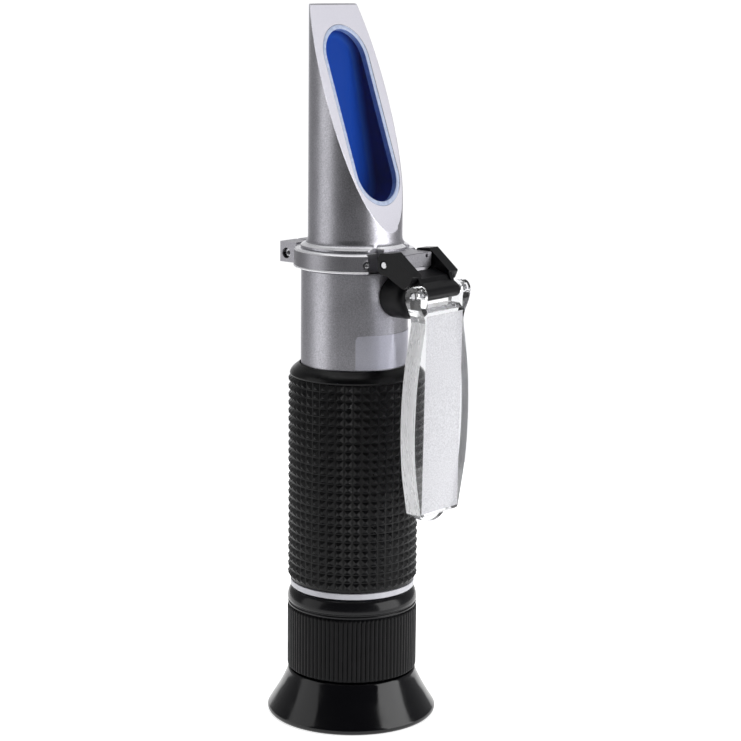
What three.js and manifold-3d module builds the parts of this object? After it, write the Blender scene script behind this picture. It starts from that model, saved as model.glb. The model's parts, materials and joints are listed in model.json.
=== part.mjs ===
// Handheld brewing refractometer standing on its eyecup, in millimetres.
// +Z runs up the tube from the eyecup to the prism. The slanted prism face looks towards -Y.
// The daylight plate hangs open on the -Y side. X = 0 is the plane of symmetry.

import * as THREE from "three";
import { mergeVertices } from "three/addons/utils/BufferGeometryUtils.js";
import Module from "manifold-3d";

const wasm = await Module();
wasm.setup();

// ---------------------------------------------------------------------------
// Driving dimensions
// ---------------------------------------------------------------------------

const GAP = 0.3; // clearance left between pieces that touch in use
const FINE_GAP = 0.15; // clearance around bonded glass and its seal
const OUTER_SEGMENTS = 44; // facets round the outside of the body
const INNER_SEGMENTS = 24; // facets round the pieces inside the tube

// Rubber eyecup
const EYECUP_RADIUS = 20.2; // widest radius, just above the rim the part stands on
const EYECUP_TOP = 10.8;
const EYECUP_RIM_OUTER = 19.4; // flat rim on the floor, outer radius
const EYECUP_RIM_INNER = 17.9; // flat rim on the floor, inner radius

// Focus ring
const FOCUS_RIB_RADIUS = 15.45;
const FOCUS_GROOVE_RADIUS = 15.15;
const FOCUS_RIB_COUNT = 90;
const FOCUS_RIB_BOTTOM = 11.2;
const FOCUS_RIB_TOP = 26.4;
const FOCUS_TOP = 30.9;
const FOCUS_BORE = 12.85;
const FOCUS_NECK_RADIUS = 13.0;
const FOCUS_NECK_BOTTOM = 6.5;

// Trim ring between the focus ring and the grip
const TRIM_RADIUS = 14.75;
const TRIM_BOTTOM = 31.3;
const TRIM_TOP = 32.7;

// Main tube
const TUBE_RADIUS = 12.5;
const TUBE_BORE = 11.3;
const TUBE_BOTTOM = 15.3;
const TUBE_TOP = 107.4;

// Rubber grip
const GRIP_BOTTOM = 33.0;
const GRIP_KNURL_BOTTOM = 33.4;
const GRIP_KNURL_TOP = 82.2;
const GRIP_TOP = 85.0;
const GRIP_BORE = 12.8;
const GRIP_VALLEY_RADIUS = 14.85;
const GRIP_PEAK_RADIUS = 15.35;
const GRIP_COLUMNS = 46;
const GRIP_ROWS = 25;

// Clamp collar that carries the hinge
const COLLAR_RADIUS = 14.3;
const COLLAR_BORE = 11.3;
const COLLAR_BOTTOM = 107.7;
const COLLAR_TOP = 112.1;
const LUG_HALF_WIDTH = 4.75; // front lug between the two cheeks of the link
const LUG_FRONT = 18.7; // distance of the lug's front face from the tube axis
const CHEEK_FLAT = 10.6; // flats beside the lug that the cheeks swing past, distance from the tube axis
const CHEEK_FLAT_HALF_WIDTH = 8.75;
const CLAMP_LUG_HALF_WIDTH = 6.0; // the pair of rear lugs pulled together by the clamp screw
const CLAMP_LUG_REACH = 17.9;
const CLAMP_LUG_TOP = 112.5;
const CLAMP_SLOT_HALF_WIDTH = 0.4;
const CLAMP_SCREW_Y = 16.0;
const CLAMP_SCREW_Z = 109.8;
const CLAMP_SCREW_RADIUS = 1.0;
const SET_SCREW_ANGLE_DEG = -129.5; // beside the left cheek, counted from +X
const SET_SCREW_Z = 109.7;
const LUG_DIMPLE = { x: 3.0, z: 111.55, radius: 0.45 };

// Prism head
const HEAD_RADIUS = 10.95;
const HEAD_FLANGE_RADIUS = 12.6;
const HEAD_FLANGE_BOTTOM = 112.4;
const HEAD_FLANGE_FLAT = 10.3; // flats that let the cheeks close, distance from the tube axis
const HEAD_SPIGOT_BOTTOM = 96.5;
const HEAD_SPIGOT_BORE = 7.9;
const HEAD_LIGHT_BORE = 5.6;
const HEAD_TOP = 167.6;
const FACE_TIP_Z = 116.4; // where the slanted face meets the front of the head
const FACE_SLOPE = 2.836; // rise of the slanted face for each millimetre back

// Prism window, measured up the slanted face from its tip
const WINDOW_LOW = 7.4;
const WINDOW_HIGH = 48.3;
const WINDOW_HALF_WIDTH = 6.85;
const SEAL_OUTER_HALF_WIDTH = 7.85;
const SEAL_THICKNESS = 1.1;
const PRISM_DEPTH_LOW = 8.0;
const PRISM_DEPTH_HIGH = 2.4;

// Double hinge
const LUG_PIN = { y: -15.24, z: 110.1, radius: 0.8 };
const PLATE_PIN = { y: -24.45, z: 104.1, radius: 0.7 };
const CHEEK_INNER = 5.1;
const CHEEK_OUTER = 8.35;
const BAR_HALF_WIDTH = 6.2;
const BAR_NOSE_RADIUS = 1.6;
const BAR_BACK = 1.9; // depth of the crossbar behind the plate pin

// Daylight plate, measured from the plate pin down the plate
const PLATE_HANG_TILT_DEG = 0.8; // lower end leans this far towards the tube
const PLATE_FRONT = 2.1; // contact face in front of the pin
const PLATE_BACK = 2.0; // outer face behind the pin
const PLATE_LENGTH = 51.1;
const PLATE_TAB_REACH = 2.3;
const PLATE_TAB_HALF_WIDTH = 5.0;
const EAR_OUTER = 9.4;
const EAR_INNER = 6.5;
const EAR_NOTCH_DEPTH = 2.95;

// Calibration screw below the collar
const CALIBRATION_Z = 102.1;
const CAP_RADIUS = 5.1;
const CAP_FRONT = 17.7;
const BOSS_RADIUS = 3.6;
const BOSS_FRONT = 15.6;
const CALIBRATION_SCREW_RADIUS = 1.5;

// Optics inside the tube
const OBJECTIVE_Z = 100.2; // middle of the objective cell
const OBJECTIVE_CELL_RADIUS = 6.9;
const OBJECTIVE_LENS_RADIUS = 5.2;
const BAFFLE_Z = 61.0;
const RETICLE_Z = 47.5; // lower face of the glass scale
const RETICLE_RADIUS = 9.3;
const GUIDE_SLEEVE_RADIUS = 11.0;
const GUIDE_SLEEVE_BORE = 9.9;
const GUIDE_SLEEVE_BOTTOM = 15.6;
const GUIDE_SLEEVE_TOP = 44.0;
const EYEPIECE_RADIUS = 9.6;
const EYEPIECE_BORE = 8.3;
const EYEPIECE_BOTTOM = 9.5;
const EYEPIECE_TOP = 34.0;
const EYE_LENS_RADIUS = 8.0;
const KEY_PIN_Z = 27.0;
const KEY_PIN_RADIUS = 0.8;

// Temperature compensation strip
const STRIP_LOW = 66.0;
const STRIP_HIGH = 94.5;
const STRIP_Y = 7.6; // inner face of the strip
const STRIP_THICKNESS = 0.7;
const STRIP_SCREW_Z = STRIP_LOW + 3.5;

// Position of the tube axis. The origin is the middle of the part's footprint box.
const PLATE_REACH = -PLATE_PIN.y + PLATE_FRONT + 0.02;
const AXIS_Y = (PLATE_REACH - EYECUP_RADIUS) / 2;

// Direction of the slanted face, seen from the side
const FACE_LENGTH_PER_MM = Math.hypot(1, FACE_SLOPE);
const FACE_UP = new THREE.Vector3(0, 1 / FACE_LENGTH_PER_MM, FACE_SLOPE / FACE_LENGTH_PER_MM);
const FACE_OUT = new THREE.Vector3(0, -FACE_UP.z, FACE_UP.y);
const FACE_TIP = new THREE.Vector3(0, -HEAD_RADIUS, FACE_TIP_Z);

// ---------------------------------------------------------------------------
// Solids
// ---------------------------------------------------------------------------

// Six times the volume enclosed by an indexed triangle list.
function signedVolume(position, index) {
  const a = new THREE.Vector3();
  const b = new THREE.Vector3();
  const c = new THREE.Vector3();
  let sum = 0;
  for (let i = 0; i < index.length; i += 3) {
    a.fromBufferAttribute(position, index[i]);
    b.fromBufferAttribute(position, index[i + 1]);
    c.fromBufferAttribute(position, index[i + 2]);
    sum += a.dot(b.cross(c));
  }
  return sum;
}

// A geometry as a solid that faces outwards and can be joined or cut.
function solid(geometry) {
  const bare = geometry.clone();
  bare.deleteAttribute("normal");
  bare.deleteAttribute("uv");
  const merged = mergeVertices(bare, 1e-4);
  const source = merged.index.array;
  const kept = [];
  for (let i = 0; i < source.length; i += 3) {
    const [a, b, c] = [source[i], source[i + 1], source[i + 2]];
    if (a !== b && b !== c && c !== a) {
      kept.push(a, b, c);
    }
  }
  const position = merged.attributes.position;
  if (signedVolume(position, kept) < 0) {
    for (let i = 0; i < kept.length; i += 3) {
      [kept[i + 1], kept[i + 2]] = [kept[i + 2], kept[i + 1]];
    }
  }
  const triVerts = new Uint32Array(kept);
  return new wasm.Manifold(
    new wasm.Mesh({ numProp: 3, vertProperties: new Float32Array(position.array), triVerts }),
  );
}

// The triangles of a solid as a geometry with flat faces.
function geometryOf(body) {
  const mesh = body.getMesh();
  const positions = new Float32Array(mesh.numVert * 3);
  for (let i = 0; i < mesh.numVert; i++) {
    positions.set(mesh.vertProperties.subarray(i * mesh.numProp, i * mesh.numProp + 3), i * 3);
  }
  const indexed = new THREE.BufferGeometry();
  indexed.setAttribute("position", new THREE.BufferAttribute(positions, 3));
  indexed.setIndex(new THREE.BufferAttribute(mesh.triVerts, 1));
  const flat = indexed.toNonIndexed();
  flat.computeVertexNormals();
  return flat;
}

// A solid turned about the Z axis from [radius, height] points.
function turned(points, segments = INNER_SEGMENTS) {
  const profile = points.map(([r, z]) => new THREE.Vector2(r, z));
  const geometry = new THREE.LatheGeometry(profile, segments);
  geometry.rotateX(Math.PI / 2);
  return solid(geometry);
}

// A ring or tube about the Z axis with a plain rectangular section.
function ring(inner, outer, low, high, segments = INNER_SEGMENTS) {
  const section = [
    [inner, low],
    [outer, low],
    [outer, high],
    [inner, high],
    [inner, low],
  ];
  return turned(section, segments);
}

// A disc or rod about the Z axis.
function disc(radius, low, high, segments = INNER_SEGMENTS) {
  const section = [
    [0, low],
    [radius, low],
    [radius, high],
    [0, high],
  ];
  return turned(section, segments);
}

// A lens about the Z axis, bulging by the given amounts below and above its edge.
function lens(radius, low, high, bulgeLow, bulgeHigh, segments = INNER_SEGMENTS) {
  const steps = 3;
  const section = [];
  for (let i = 0; i <= steps; i++) {
    const t = i / steps;
    section.push([radius * t, low - bulgeLow * (1 - t * t)]);
  }
  for (let i = steps; i >= 0; i--) {
    const t = i / steps;
    section.push([radius * t, high + bulgeHigh * (1 - t * t)]);
  }
  return turned(section, segments);
}

// A box given by its lowest and highest corners.
function block(low, high) {
  const geometry = new THREE.BoxGeometry(high[0] - low[0], high[1] - low[1], high[2] - low[2]);
  geometry.translate((low[0] + high[0]) / 2, (low[1] + high[1]) / 2, (low[2] + high[2]) / 2);
  return solid(geometry);
}

// A flat outline extruded along local Z, then placed by a matrix.
function extruded(outline, depth, matrix, holes = []) {
  const shape = new THREE.Shape(outline.map(([x, y]) => new THREE.Vector2(x, y)));
  for (const hole of holes) {
    shape.holes.push(new THREE.Path(hole.map(([x, y]) => new THREE.Vector2(x, y))));
  }
  const geometry = new THREE.ExtrudeGeometry(shape, { depth, bevelEnabled: false, steps: 1 });
  geometry.applyMatrix4(matrix);
  return solid(geometry);
}

// A side profile of [y, z] points extruded across X between two positions.
function crosswise(profile, x0, x1) {
  const basis = new THREE.Matrix4().makeBasis(
    new THREE.Vector3(0, 1, 0),
    new THREE.Vector3(0, 0, 1),
    new THREE.Vector3(1, 0, 0),
  );
  basis.setPosition(x0, 0, 0);
  return extruded(profile, x1 - x0, basis);
}

// A round rod across X.
function rodX(radius, y, z, x0, x1, segments = 16) {
  const geometry = new THREE.CylinderGeometry(radius, radius, x1 - x0, segments);
  geometry.rotateZ(Math.PI / 2);
  geometry.translate((x0 + x1) / 2, y, z);
  return solid(geometry);
}

// A round rod along Y.
function rodY(radius, x, z, y0, y1, segments = 16) {
  const geometry = new THREE.CylinderGeometry(radius, radius, y1 - y0, segments);
  geometry.translate(x, (y0 + y1) / 2, z);
  return solid(geometry);
}

// Points of an arc about (cx, cy), both ends included, angles in degrees.
function arc(cx, cy, radius, fromDeg, toDeg, steps) {
  const points = [];
  for (let i = 0; i <= steps; i++) {
    const angle = THREE.MathUtils.degToRad(fromDeg + ((toDeg - fromDeg) * i) / steps);
    points.push([cx + radius * Math.cos(angle), cy + radius * Math.sin(angle)]);
  }
  return points;
}

// A long slot outline with round ends, standing along Y.
function stadium(halfWidth, low, high, steps = 14) {
  const upper = arc(0, high - halfWidth, halfWidth, 0, 180, steps);
  const lower = arc(0, low + halfWidth, halfWidth, 180, 360, steps);
  return [...upper, ...lower];
}

// ---------------------------------------------------------------------------
// Materials
// ---------------------------------------------------------------------------

function material(name, color, roughness, metalness, extra = {}) {
  const made = new THREE.MeshStandardMaterial({ color, roughness, metalness, ...extra });
  made.name = name;
  return made;
}

const satinAluminium = () => material("satin_aluminium", 0xb2b1b8, 0.42, 0.9);
const brightAluminium = () => material("bright_aluminium", 0xd4d3da, 0.32, 0.9);
const steel = () => material("steel", 0xc4c4c8, 0.25, 1.0);
const brass = () => material("brass", 0xb08d4a, 0.35, 1.0);
const blackAnodised = () => material("black_anodised", 0x17171a, 0.55, 0.6);
const blackPlastic = () => material("black_plastic", 0x101012, 0.35, 0.0);
const gripRubber = () => material("grip_rubber", 0x161617, 0.75, 0.0);
const eyecupRubber = () => material("eyecup_rubber", 0x0d0d0e, 0.3, 0.0);
const capRubber = () => material("cap_rubber", 0x131315, 0.6, 0.0);
const trimWhite = () => material("trim_white", 0xe4e4e8, 0.35, 0.1);
const sealResin = () => material("seal_resin", 0xa9b8d6, 0.4, 0.0);
const prismGlass = () => material("prism_glass", 0x143f96, 0.05, 0.0);
const opticalGlass = () =>
  material("optical_glass", 0xdfe9ef, 0.02, 0.0, { transparent: true, opacity: 0.4 });
const clearAcrylic = () =>
  material("clear_acrylic", 0xe6e8ee, 0.12, 0.0, { transparent: true, opacity: 0.55 });
const labelFilm = () => material("label_film", 0xaab2c4, 0.35, 0.3);
const bimetal = () => material("bimetal", 0x9a7f62, 0.4, 0.9);

// ---------------------------------------------------------------------------
// Assembly helper
// ---------------------------------------------------------------------------

const refractometer = new THREE.Group();
refractometer.name = "refractometer";
refractometer.position.set(0, AXIS_Y, 0);

function add(name, body, surface) {
  const mesh = new THREE.Mesh(geometryOf(body), surface);
  mesh.name = name;
  refractometer.add(mesh);
}

// ---------------------------------------------------------------------------
// Eyecup and focus ring
// ---------------------------------------------------------------------------

// Flared soft cup that slips over the neck of the focus ring.
function rubberEyecup() {
  const socket = FOCUS_NECK_RADIUS + GAP;
  const section = [
    [EYECUP_RIM_INNER, 0],
    [EYECUP_RIM_OUTER, 0],
    [EYECUP_RADIUS, 0.9],
    [20.05, 1.5],
    [18.5, 4.0],
    [17.0, 6.6],
    [15.6, 9.7],
    [15.25, EYECUP_TOP],
    [socket, EYECUP_TOP],
    [socket, FOCUS_NECK_BOTTOM - GAP],
    [12.6, FOCUS_NECK_BOTTOM - GAP],
    [12.5, 5.6],
    [14.2, 3.6],
    [EYECUP_RIM_INNER, 0],
  ];
  return turned(section, OUTER_SEGMENTS);
}

// Cross-section of the ribbed part of the focus ring.
function ribbedOutline() {
  const points = [];
  const step = (2 * Math.PI) / FOCUS_RIB_COUNT;
  for (let i = 0; i < FOCUS_RIB_COUNT; i++) {
    const corners = [
      [FOCUS_GROOVE_RADIUS, 0],
      [FOCUS_RIB_RADIUS, 0.5],
    ];
    for (const [radius, share] of corners) {
      const angle = (i + share) * step;
      points.push([radius * Math.cos(angle), radius * Math.sin(angle)]);
    }
  }
  return points;
}

// Ring turned by hand to focus: ribbed outside, smooth rounded lip on top, neck for the eyecup below.
function focusRing() {
  const ribs = extruded(
    ribbedOutline(),
    FOCUS_RIB_TOP - FOCUS_RIB_BOTTOM,
    new THREE.Matrix4().makeTranslation(0, 0, FOCUS_RIB_BOTTOM),
  );
  const core = turned(
    [
      [FOCUS_BORE, FOCUS_RIB_BOTTOM + 0.4],
      [FOCUS_BORE, FOCUS_TOP],
      [14.2, FOCUS_TOP],
      [14.75, FOCUS_TOP - 0.45],
      [15.2, FOCUS_TOP - 1.3],
      [15.5, FOCUS_TOP - 2.8],
      [15.5, FOCUS_RIB_TOP],
      [15.0, FOCUS_RIB_TOP - 0.3],
      [15.0, FOCUS_RIB_BOTTOM],
      [FOCUS_NECK_RADIUS, FOCUS_RIB_BOTTOM],
      [FOCUS_NECK_RADIUS, FOCUS_NECK_BOTTOM],
      [8.7, FOCUS_NECK_BOTTOM],
      [8.7, EYEPIECE_BOTTOM - GAP],
      [FOCUS_BORE - 0.6, EYEPIECE_BOTTOM - GAP],
      [FOCUS_BORE - 0.6, FOCUS_RIB_BOTTOM + 0.4],
      [FOCUS_BORE, FOCUS_RIB_BOTTOM + 0.4],
    ],
    OUTER_SEGMENTS,
  );
  const clearance = disc(FOCUS_BORE + 0.5, FOCUS_RIB_BOTTOM - 1, FOCUS_RIB_TOP + 1, OUTER_SEGMENTS);
  return ribs.subtract(clearance).add(core);
}

// ---------------------------------------------------------------------------
// Tube, grip and trim
// ---------------------------------------------------------------------------

// Straight tube from inside the focus ring up to the collar, drilled for the boss and the key pin.
function mainTube() {
  const tube = turned(
    [
      [TUBE_BORE, TUBE_BOTTOM],
      [TUBE_RADIUS, TUBE_BOTTOM],
      [TUBE_RADIUS, TUBE_TOP - 0.25],
      [TUBE_RADIUS - 0.25, TUBE_TOP],
      [TUBE_BORE, TUBE_TOP],
      [TUBE_BORE, TUBE_BOTTOM],
    ],
    OUTER_SEGMENTS,
  );
  const bossHole = rodY(BOSS_RADIUS - 1.0 + GAP, 0, CALIBRATION_Z, -14, -8);
  const keyHole = rodX(KEY_PIN_RADIUS + GAP, 0, KEY_PIN_Z, 9, 14);
  return tube.subtract(bossHole).subtract(keyHole);
}

// One ring of points around the grip, turned by a share of a column.
function gripRing(radius, z, share = 0) {
  const points = [];
  for (let i = 0; i < GRIP_COLUMNS; i++) {
    const angle = ((i + share) * 2 * Math.PI) / GRIP_COLUMNS;
    points.push([radius * Math.cos(angle), radius * Math.sin(angle), z]);
  }
  return points;
}

// Rubber sleeve covered in rows of small pyramids, with a smooth rounded shoulder at the top.
function rubberGrip() {
  const rowHeight = (GRIP_KNURL_TOP - GRIP_KNURL_BOTTOM) / GRIP_ROWS;
  const points = [];
  const faces = [];
  const ringStart = (ringPoints) => {
    const start = points.length;
    points.push(...ringPoints);
    return start;
  };
  const band = (low, high) => {
    for (let i = 0; i < GRIP_COLUMNS; i++) {
      const j = (i + 1) % GRIP_COLUMNS;
      faces.push([low + i, low + j, high + j], [low + i, high + j, high + i]);
    }
  };
  const bore = ringStart(gripRing(GRIP_BORE, GRIP_BOTTOM));
  const foot = ringStart(gripRing(GRIP_VALLEY_RADIUS - 0.2, GRIP_BOTTOM));
  band(bore, foot);
  let lower = ringStart(gripRing(GRIP_VALLEY_RADIUS, GRIP_KNURL_BOTTOM));
  band(foot, lower);
  for (let row = 0; row < GRIP_ROWS; row++) {
    const z = GRIP_KNURL_BOTTOM + (row + 1) * rowHeight;
    const peak = ringStart(gripRing(GRIP_PEAK_RADIUS, z - rowHeight / 2, 0.5));
    const upper = ringStart(gripRing(GRIP_VALLEY_RADIUS, z));
    for (let i = 0; i < GRIP_COLUMNS; i++) {
      const j = (i + 1) % GRIP_COLUMNS;
      faces.push([lower + i, lower + j, peak + i]);
      faces.push([lower + j, upper + j, peak + i]);
      faces.push([upper + j, upper + i, peak + i]);
      faces.push([upper + i, lower + i, peak + i]);
    }
    lower = upper;
  }
  const shoulder = [
    [15.05, GRIP_KNURL_TOP + 0.3],
    [14.75, GRIP_TOP - 1.9],
    [14.1, GRIP_TOP - 1.0],
    [13.4, GRIP_TOP - 0.45],
    [GRIP_BORE + 0.15, GRIP_TOP],
    [GRIP_BORE, GRIP_TOP - 0.1],
  ];
  for (const [radius, z] of shoulder) {
    const next = ringStart(gripRing(radius, z));
    band(lower, next);
    lower = next;
  }
  band(lower, bore);
  const geometry = new THREE.BufferGeometry();
  geometry.setAttribute("position", new THREE.Float32BufferAttribute(points.flat(), 3));
  geometry.setIndex(faces.flat());
  return solid(geometry);
}

// Light ring that closes the lower end of the grip.
function trimRing() {
  return turned(
    [
      [GRIP_BORE, TRIM_BOTTOM],
      [TRIM_RADIUS, TRIM_BOTTOM],
      [TRIM_RADIUS, TRIM_TOP],
      [GRIP_BORE, TRIM_TOP],
      [GRIP_BORE, TRIM_BOTTOM],
    ],
    OUTER_SEGMENTS,
  );
}

// Thin blank label wrapped round the front of the tube above the grip.
function tubeLabel() {
  const halfAngle = 49;
  const inner = TUBE_RADIUS + 0.05;
  const outer = inner + 0.12;
  const outline = [
    ...arc(0, 0, outer, -90 - halfAngle, -90 + halfAngle, 28),
    ...arc(0, 0, inner, -90 + halfAngle, -90 - halfAngle, 28),
  ];
  const low = GRIP_TOP + 0.3;
  return extruded(outline, 93.2 - low, new THREE.Matrix4().makeTranslation(0, 0, low));
}

// ---------------------------------------------------------------------------
// Prism head
// ---------------------------------------------------------------------------

// Placement for outlines drawn on the slanted face: X across, Y up the face, Z outwards.
function faceMatrix(depth) {
  const basis = new THREE.Matrix4().makeBasis(new THREE.Vector3(1, 0, 0), FACE_UP, FACE_OUT);
  basis.setPosition(FACE_TIP.clone().addScaledVector(FACE_OUT, depth));
  return basis;
}

// Side profile of the glass wedge, from the slanted face back to its rear face.
function wedgeProfile(grow, above) {
  const at = (up, out) => {
    const point = FACE_TIP.clone().addScaledVector(FACE_UP, up).addScaledVector(FACE_OUT, out);
    return [point.y, point.z];
  };
  return [
    at(WINDOW_LOW - grow - 1, above),
    at(WINDOW_LOW - grow - 1, -PRISM_DEPTH_LOW - grow),
    at(WINDOW_HIGH + grow + 1, -PRISM_DEPTH_HIGH - grow),
    at(WINDOW_HIGH + grow + 1, above),
  ];
}

// A stadium-shaped plug of the given size that runs into the head from the slanted face.
function windowPlug(grow, above) {
  const outline = stadium(WINDOW_HALF_WIDTH + grow, WINDOW_LOW - grow, WINDOW_HIGH + grow);
  const column = extruded(outline, 20 + above, faceMatrix(-20));
  const wedge = crosswise(wedgeProfile(grow, above), -10, 10);
  return column.intersect(wedge);
}

// Measuring prism: its top face is the window that takes the drop of wort or juice.
function mainPrism() {
  return windowPlug(0, -0.05);
}

// Band of cured resin that seals the glass into the head.
function prismSeal() {
  const rim = SEAL_OUTER_HALF_WIDTH - WINDOW_HALF_WIDTH;
  const outer = stadium(SEAL_OUTER_HALF_WIDTH, WINDOW_LOW - rim, WINDOW_HIGH + rim);
  const inner = stadium(
    WINDOW_HALF_WIDTH + FINE_GAP,
    WINDOW_LOW - FINE_GAP,
    WINDOW_HIGH + FINE_GAP,
  );
  return extruded(outer, SEAL_THICKNESS - 0.02, faceMatrix(-SEAL_THICKNESS), [inner]);
}

// Space beside the front lug, on the side given by its sign, that leaves a flat for a cheek.
function cheekFlat(side, depth, low, high) {
  const near = side * LUG_HALF_WIDTH;
  const far = side * CHEEK_FLAT_HALF_WIDTH;
  return block([Math.min(near, far), -20, low], [Math.max(near, far), -depth, high]);
}

// Round metal head cut off by the slanted face, with a pocket for the prism and a spigot in the tube.
function headHousing() {
  const body = turned(
    [
      [0, HEAD_SPIGOT_BOTTOM],
      [HEAD_RADIUS, HEAD_SPIGOT_BOTTOM],
      [HEAD_RADIUS, HEAD_FLANGE_BOTTOM],
      [HEAD_FLANGE_RADIUS, HEAD_FLANGE_BOTTOM],
      [HEAD_FLANGE_RADIUS, HEAD_FLANGE_BOTTOM + 0.5],
      [11.9, HEAD_FLANGE_BOTTOM + 0.85],
      [11.35, HEAD_FLANGE_BOTTOM + 1.35],
      [HEAD_RADIUS, HEAD_FLANGE_BOTTOM + 2.2],
      [HEAD_RADIUS, HEAD_TOP],
      [0, HEAD_TOP],
    ],
    OUTER_SEGMENTS,
  );
  const front = crosswise(
    [
      [-HEAD_RADIUS - 3, FACE_TIP_Z - 3 * FACE_SLOPE],
      [-HEAD_RADIUS + 25, FACE_TIP_Z + 25 * FACE_SLOPE],
      [-HEAD_RADIUS - 3, FACE_TIP_Z + 25 * FACE_SLOPE],
    ],
    -20,
    20,
  );
  const flangeKeep = disc(HEAD_FLANGE_RADIUS + 1, HEAD_SPIGOT_BOTTOM - 1, FACE_TIP_Z - 0.01, OUTER_SEGMENTS);
  const spigotBore = disc(HEAD_SPIGOT_BORE, HEAD_SPIGOT_BOTTOM - 1, HEAD_FLANGE_BOTTOM - 2);
  const lightBore = disc(HEAD_LIGHT_BORE, HEAD_SPIGOT_BOTTOM - 1, FACE_TIP_Z + 9);
  const rim = SEAL_OUTER_HALF_WIDTH - WINDOW_HALF_WIDTH + FINE_GAP;
  const sealStep = extruded(
    stadium(WINDOW_HALF_WIDTH + rim, WINDOW_LOW - rim, WINDOW_HIGH + rim),
    SEAL_THICKNESS + FINE_GAP + 1,
    faceMatrix(-SEAL_THICKNESS - FINE_GAP),
  );
  const screwHole = rodY(CALIBRATION_SCREW_RADIUS + GAP, 0, CALIBRATION_Z, -12, -6);
  const flatTop = HEAD_FLANGE_BOTTOM + 2.2;
  const leftFlat = cheekFlat(-1, HEAD_FLANGE_FLAT, HEAD_FLANGE_BOTTOM - 0.1, flatTop);
  const rightFlat = cheekFlat(1, HEAD_FLANGE_FLAT, HEAD_FLANGE_BOTTOM - 0.1, flatTop);
  return body
    .subtract(leftFlat)
    .subtract(rightFlat)
    .subtract(front.subtract(flangeKeep))
    .subtract(windowPlug(FINE_GAP, 1))
    .subtract(sealStep)
    .subtract(spigotBore)
    .subtract(lightBore)
    .subtract(screwHole);
}

// ---------------------------------------------------------------------------
// Clamp collar and its screws
// ---------------------------------------------------------------------------

// Split ring below the head: hinge lug in front, two clamp lugs behind.
function clampCollar() {
  const band = turned(
    [
      [COLLAR_BORE, COLLAR_BOTTOM],
      [COLLAR_RADIUS - 0.3, COLLAR_BOTTOM],
      [COLLAR_RADIUS, COLLAR_BOTTOM + 0.3],
      [COLLAR_RADIUS, COLLAR_TOP - 0.35],
      [COLLAR_RADIUS - 0.35, COLLAR_TOP],
      [COLLAR_BORE, COLLAR_TOP],
      [COLLAR_BORE, COLLAR_BOTTOM],
    ],
    OUTER_SEGMENTS,
  );
  const leftFlat = cheekFlat(-1, CHEEK_FLAT, COLLAR_BOTTOM - 1, COLLAR_TOP + 1);
  const rightFlat = cheekFlat(1, CHEEK_FLAT, COLLAR_BOTTOM - 1, COLLAR_TOP + 1);
  const lug = crosswise(
    [
      [-11.6, COLLAR_BOTTOM],
      [-LUG_FRONT + 1.6, COLLAR_BOTTOM],
      [-LUG_FRONT, COLLAR_BOTTOM + 1.4],
      [-LUG_FRONT, COLLAR_TOP],
      [-LUG_FRONT + 0.25, COLLAR_TOP + 0.25],
      [-13.2, COLLAR_TOP + 0.25],
      [-13.2, COLLAR_TOP],
      [-11.6, COLLAR_TOP],
    ],
    -LUG_HALF_WIDTH,
    LUG_HALF_WIDTH,
  );
  const clampLugs = block(
    [-CLAMP_LUG_HALF_WIDTH, 12.9, COLLAR_BOTTOM],
    [CLAMP_LUG_HALF_WIDTH, CLAMP_LUG_REACH, CLAMP_LUG_TOP],
  );
  const slot = block(
    [-CLAMP_SLOT_HALF_WIDTH, 10, COLLAR_BOTTOM - 1],
    [CLAMP_SLOT_HALF_WIDTH, CLAMP_LUG_REACH + 1, CLAMP_LUG_TOP + 1],
  );
  const clampHole = rodX(CLAMP_SCREW_RADIUS + GAP, CLAMP_SCREW_Y, CLAMP_SCREW_Z, -7, 7);
  const pinHole = rodX(LUG_PIN.radius + GAP, LUG_PIN.y, LUG_PIN.z, -6, 6);
  const { x, z, radius } = LUG_DIMPLE;
  const dimple = rodY(radius, x, z, -LUG_FRONT - 1, -LUG_FRONT + 1.2, 12);
  const bore = disc(COLLAR_BORE, COLLAR_BOTTOM - 1, CLAMP_LUG_TOP + 1, OUTER_SEGMENTS);
  return band
    .subtract(leftFlat)
    .subtract(rightFlat)
    .add(lug)
    .add(clampLugs)
    .subtract(bore)
    .subtract(slot)
    .subtract(clampHole)
    .subtract(pinHole)
    .subtract(dimple)
    .subtract(setScrewHole());
}

// A round rod that points away from the tube axis.
function radialRod(radius, angleDeg, z, r0, r1, segments = 16) {
  const geometry = new THREE.CylinderGeometry(radius, radius, r1 - r0, segments);
  geometry.rotateZ(-Math.PI / 2);
  geometry.translate((r0 + r1) / 2, 0, z);
  geometry.rotateZ(THREE.MathUtils.degToRad(angleDeg));
  return solid(geometry);
}

// Radial hole for the collar's set screw.
function setScrewHole() {
  return radialRod(0.85, SET_SCREW_ANGLE_DEG, SET_SCREW_Z, 10, 16);
}

// Small grub screw that locks the collar to the head's spigot.
function collarSetScrew() {
  const shank = radialRod(0.6, SET_SCREW_ANGLE_DEG, SET_SCREW_Z, 11.4, 14.15);
  const socket = radialRod(0.28, SET_SCREW_ANGLE_DEG, SET_SCREW_Z, 13.4, 15, 6);
  return shank.subtract(socket);
}

// Screw through both rear lugs, with a hexagon socket in its left end.
function clampScrew() {
  const shank = rodX(CLAMP_SCREW_RADIUS, CLAMP_SCREW_Y, CLAMP_SCREW_Z, -5.2, 5.6);
  const socket = rodX(0.5, CLAMP_SCREW_Y, CLAMP_SCREW_Z, -6, -3.9, 6);
  return shank.subtract(socket);
}

// ---------------------------------------------------------------------------
// Double hinge and daylight plate
// ---------------------------------------------------------------------------

// Pin through the front lug, holding the link.
function lugPin() {
  return rodX(LUG_PIN.radius, LUG_PIN.y, LUG_PIN.z, -CHEEK_OUTER + 0.1, CHEEK_OUTER - 0.1);
}

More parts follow.
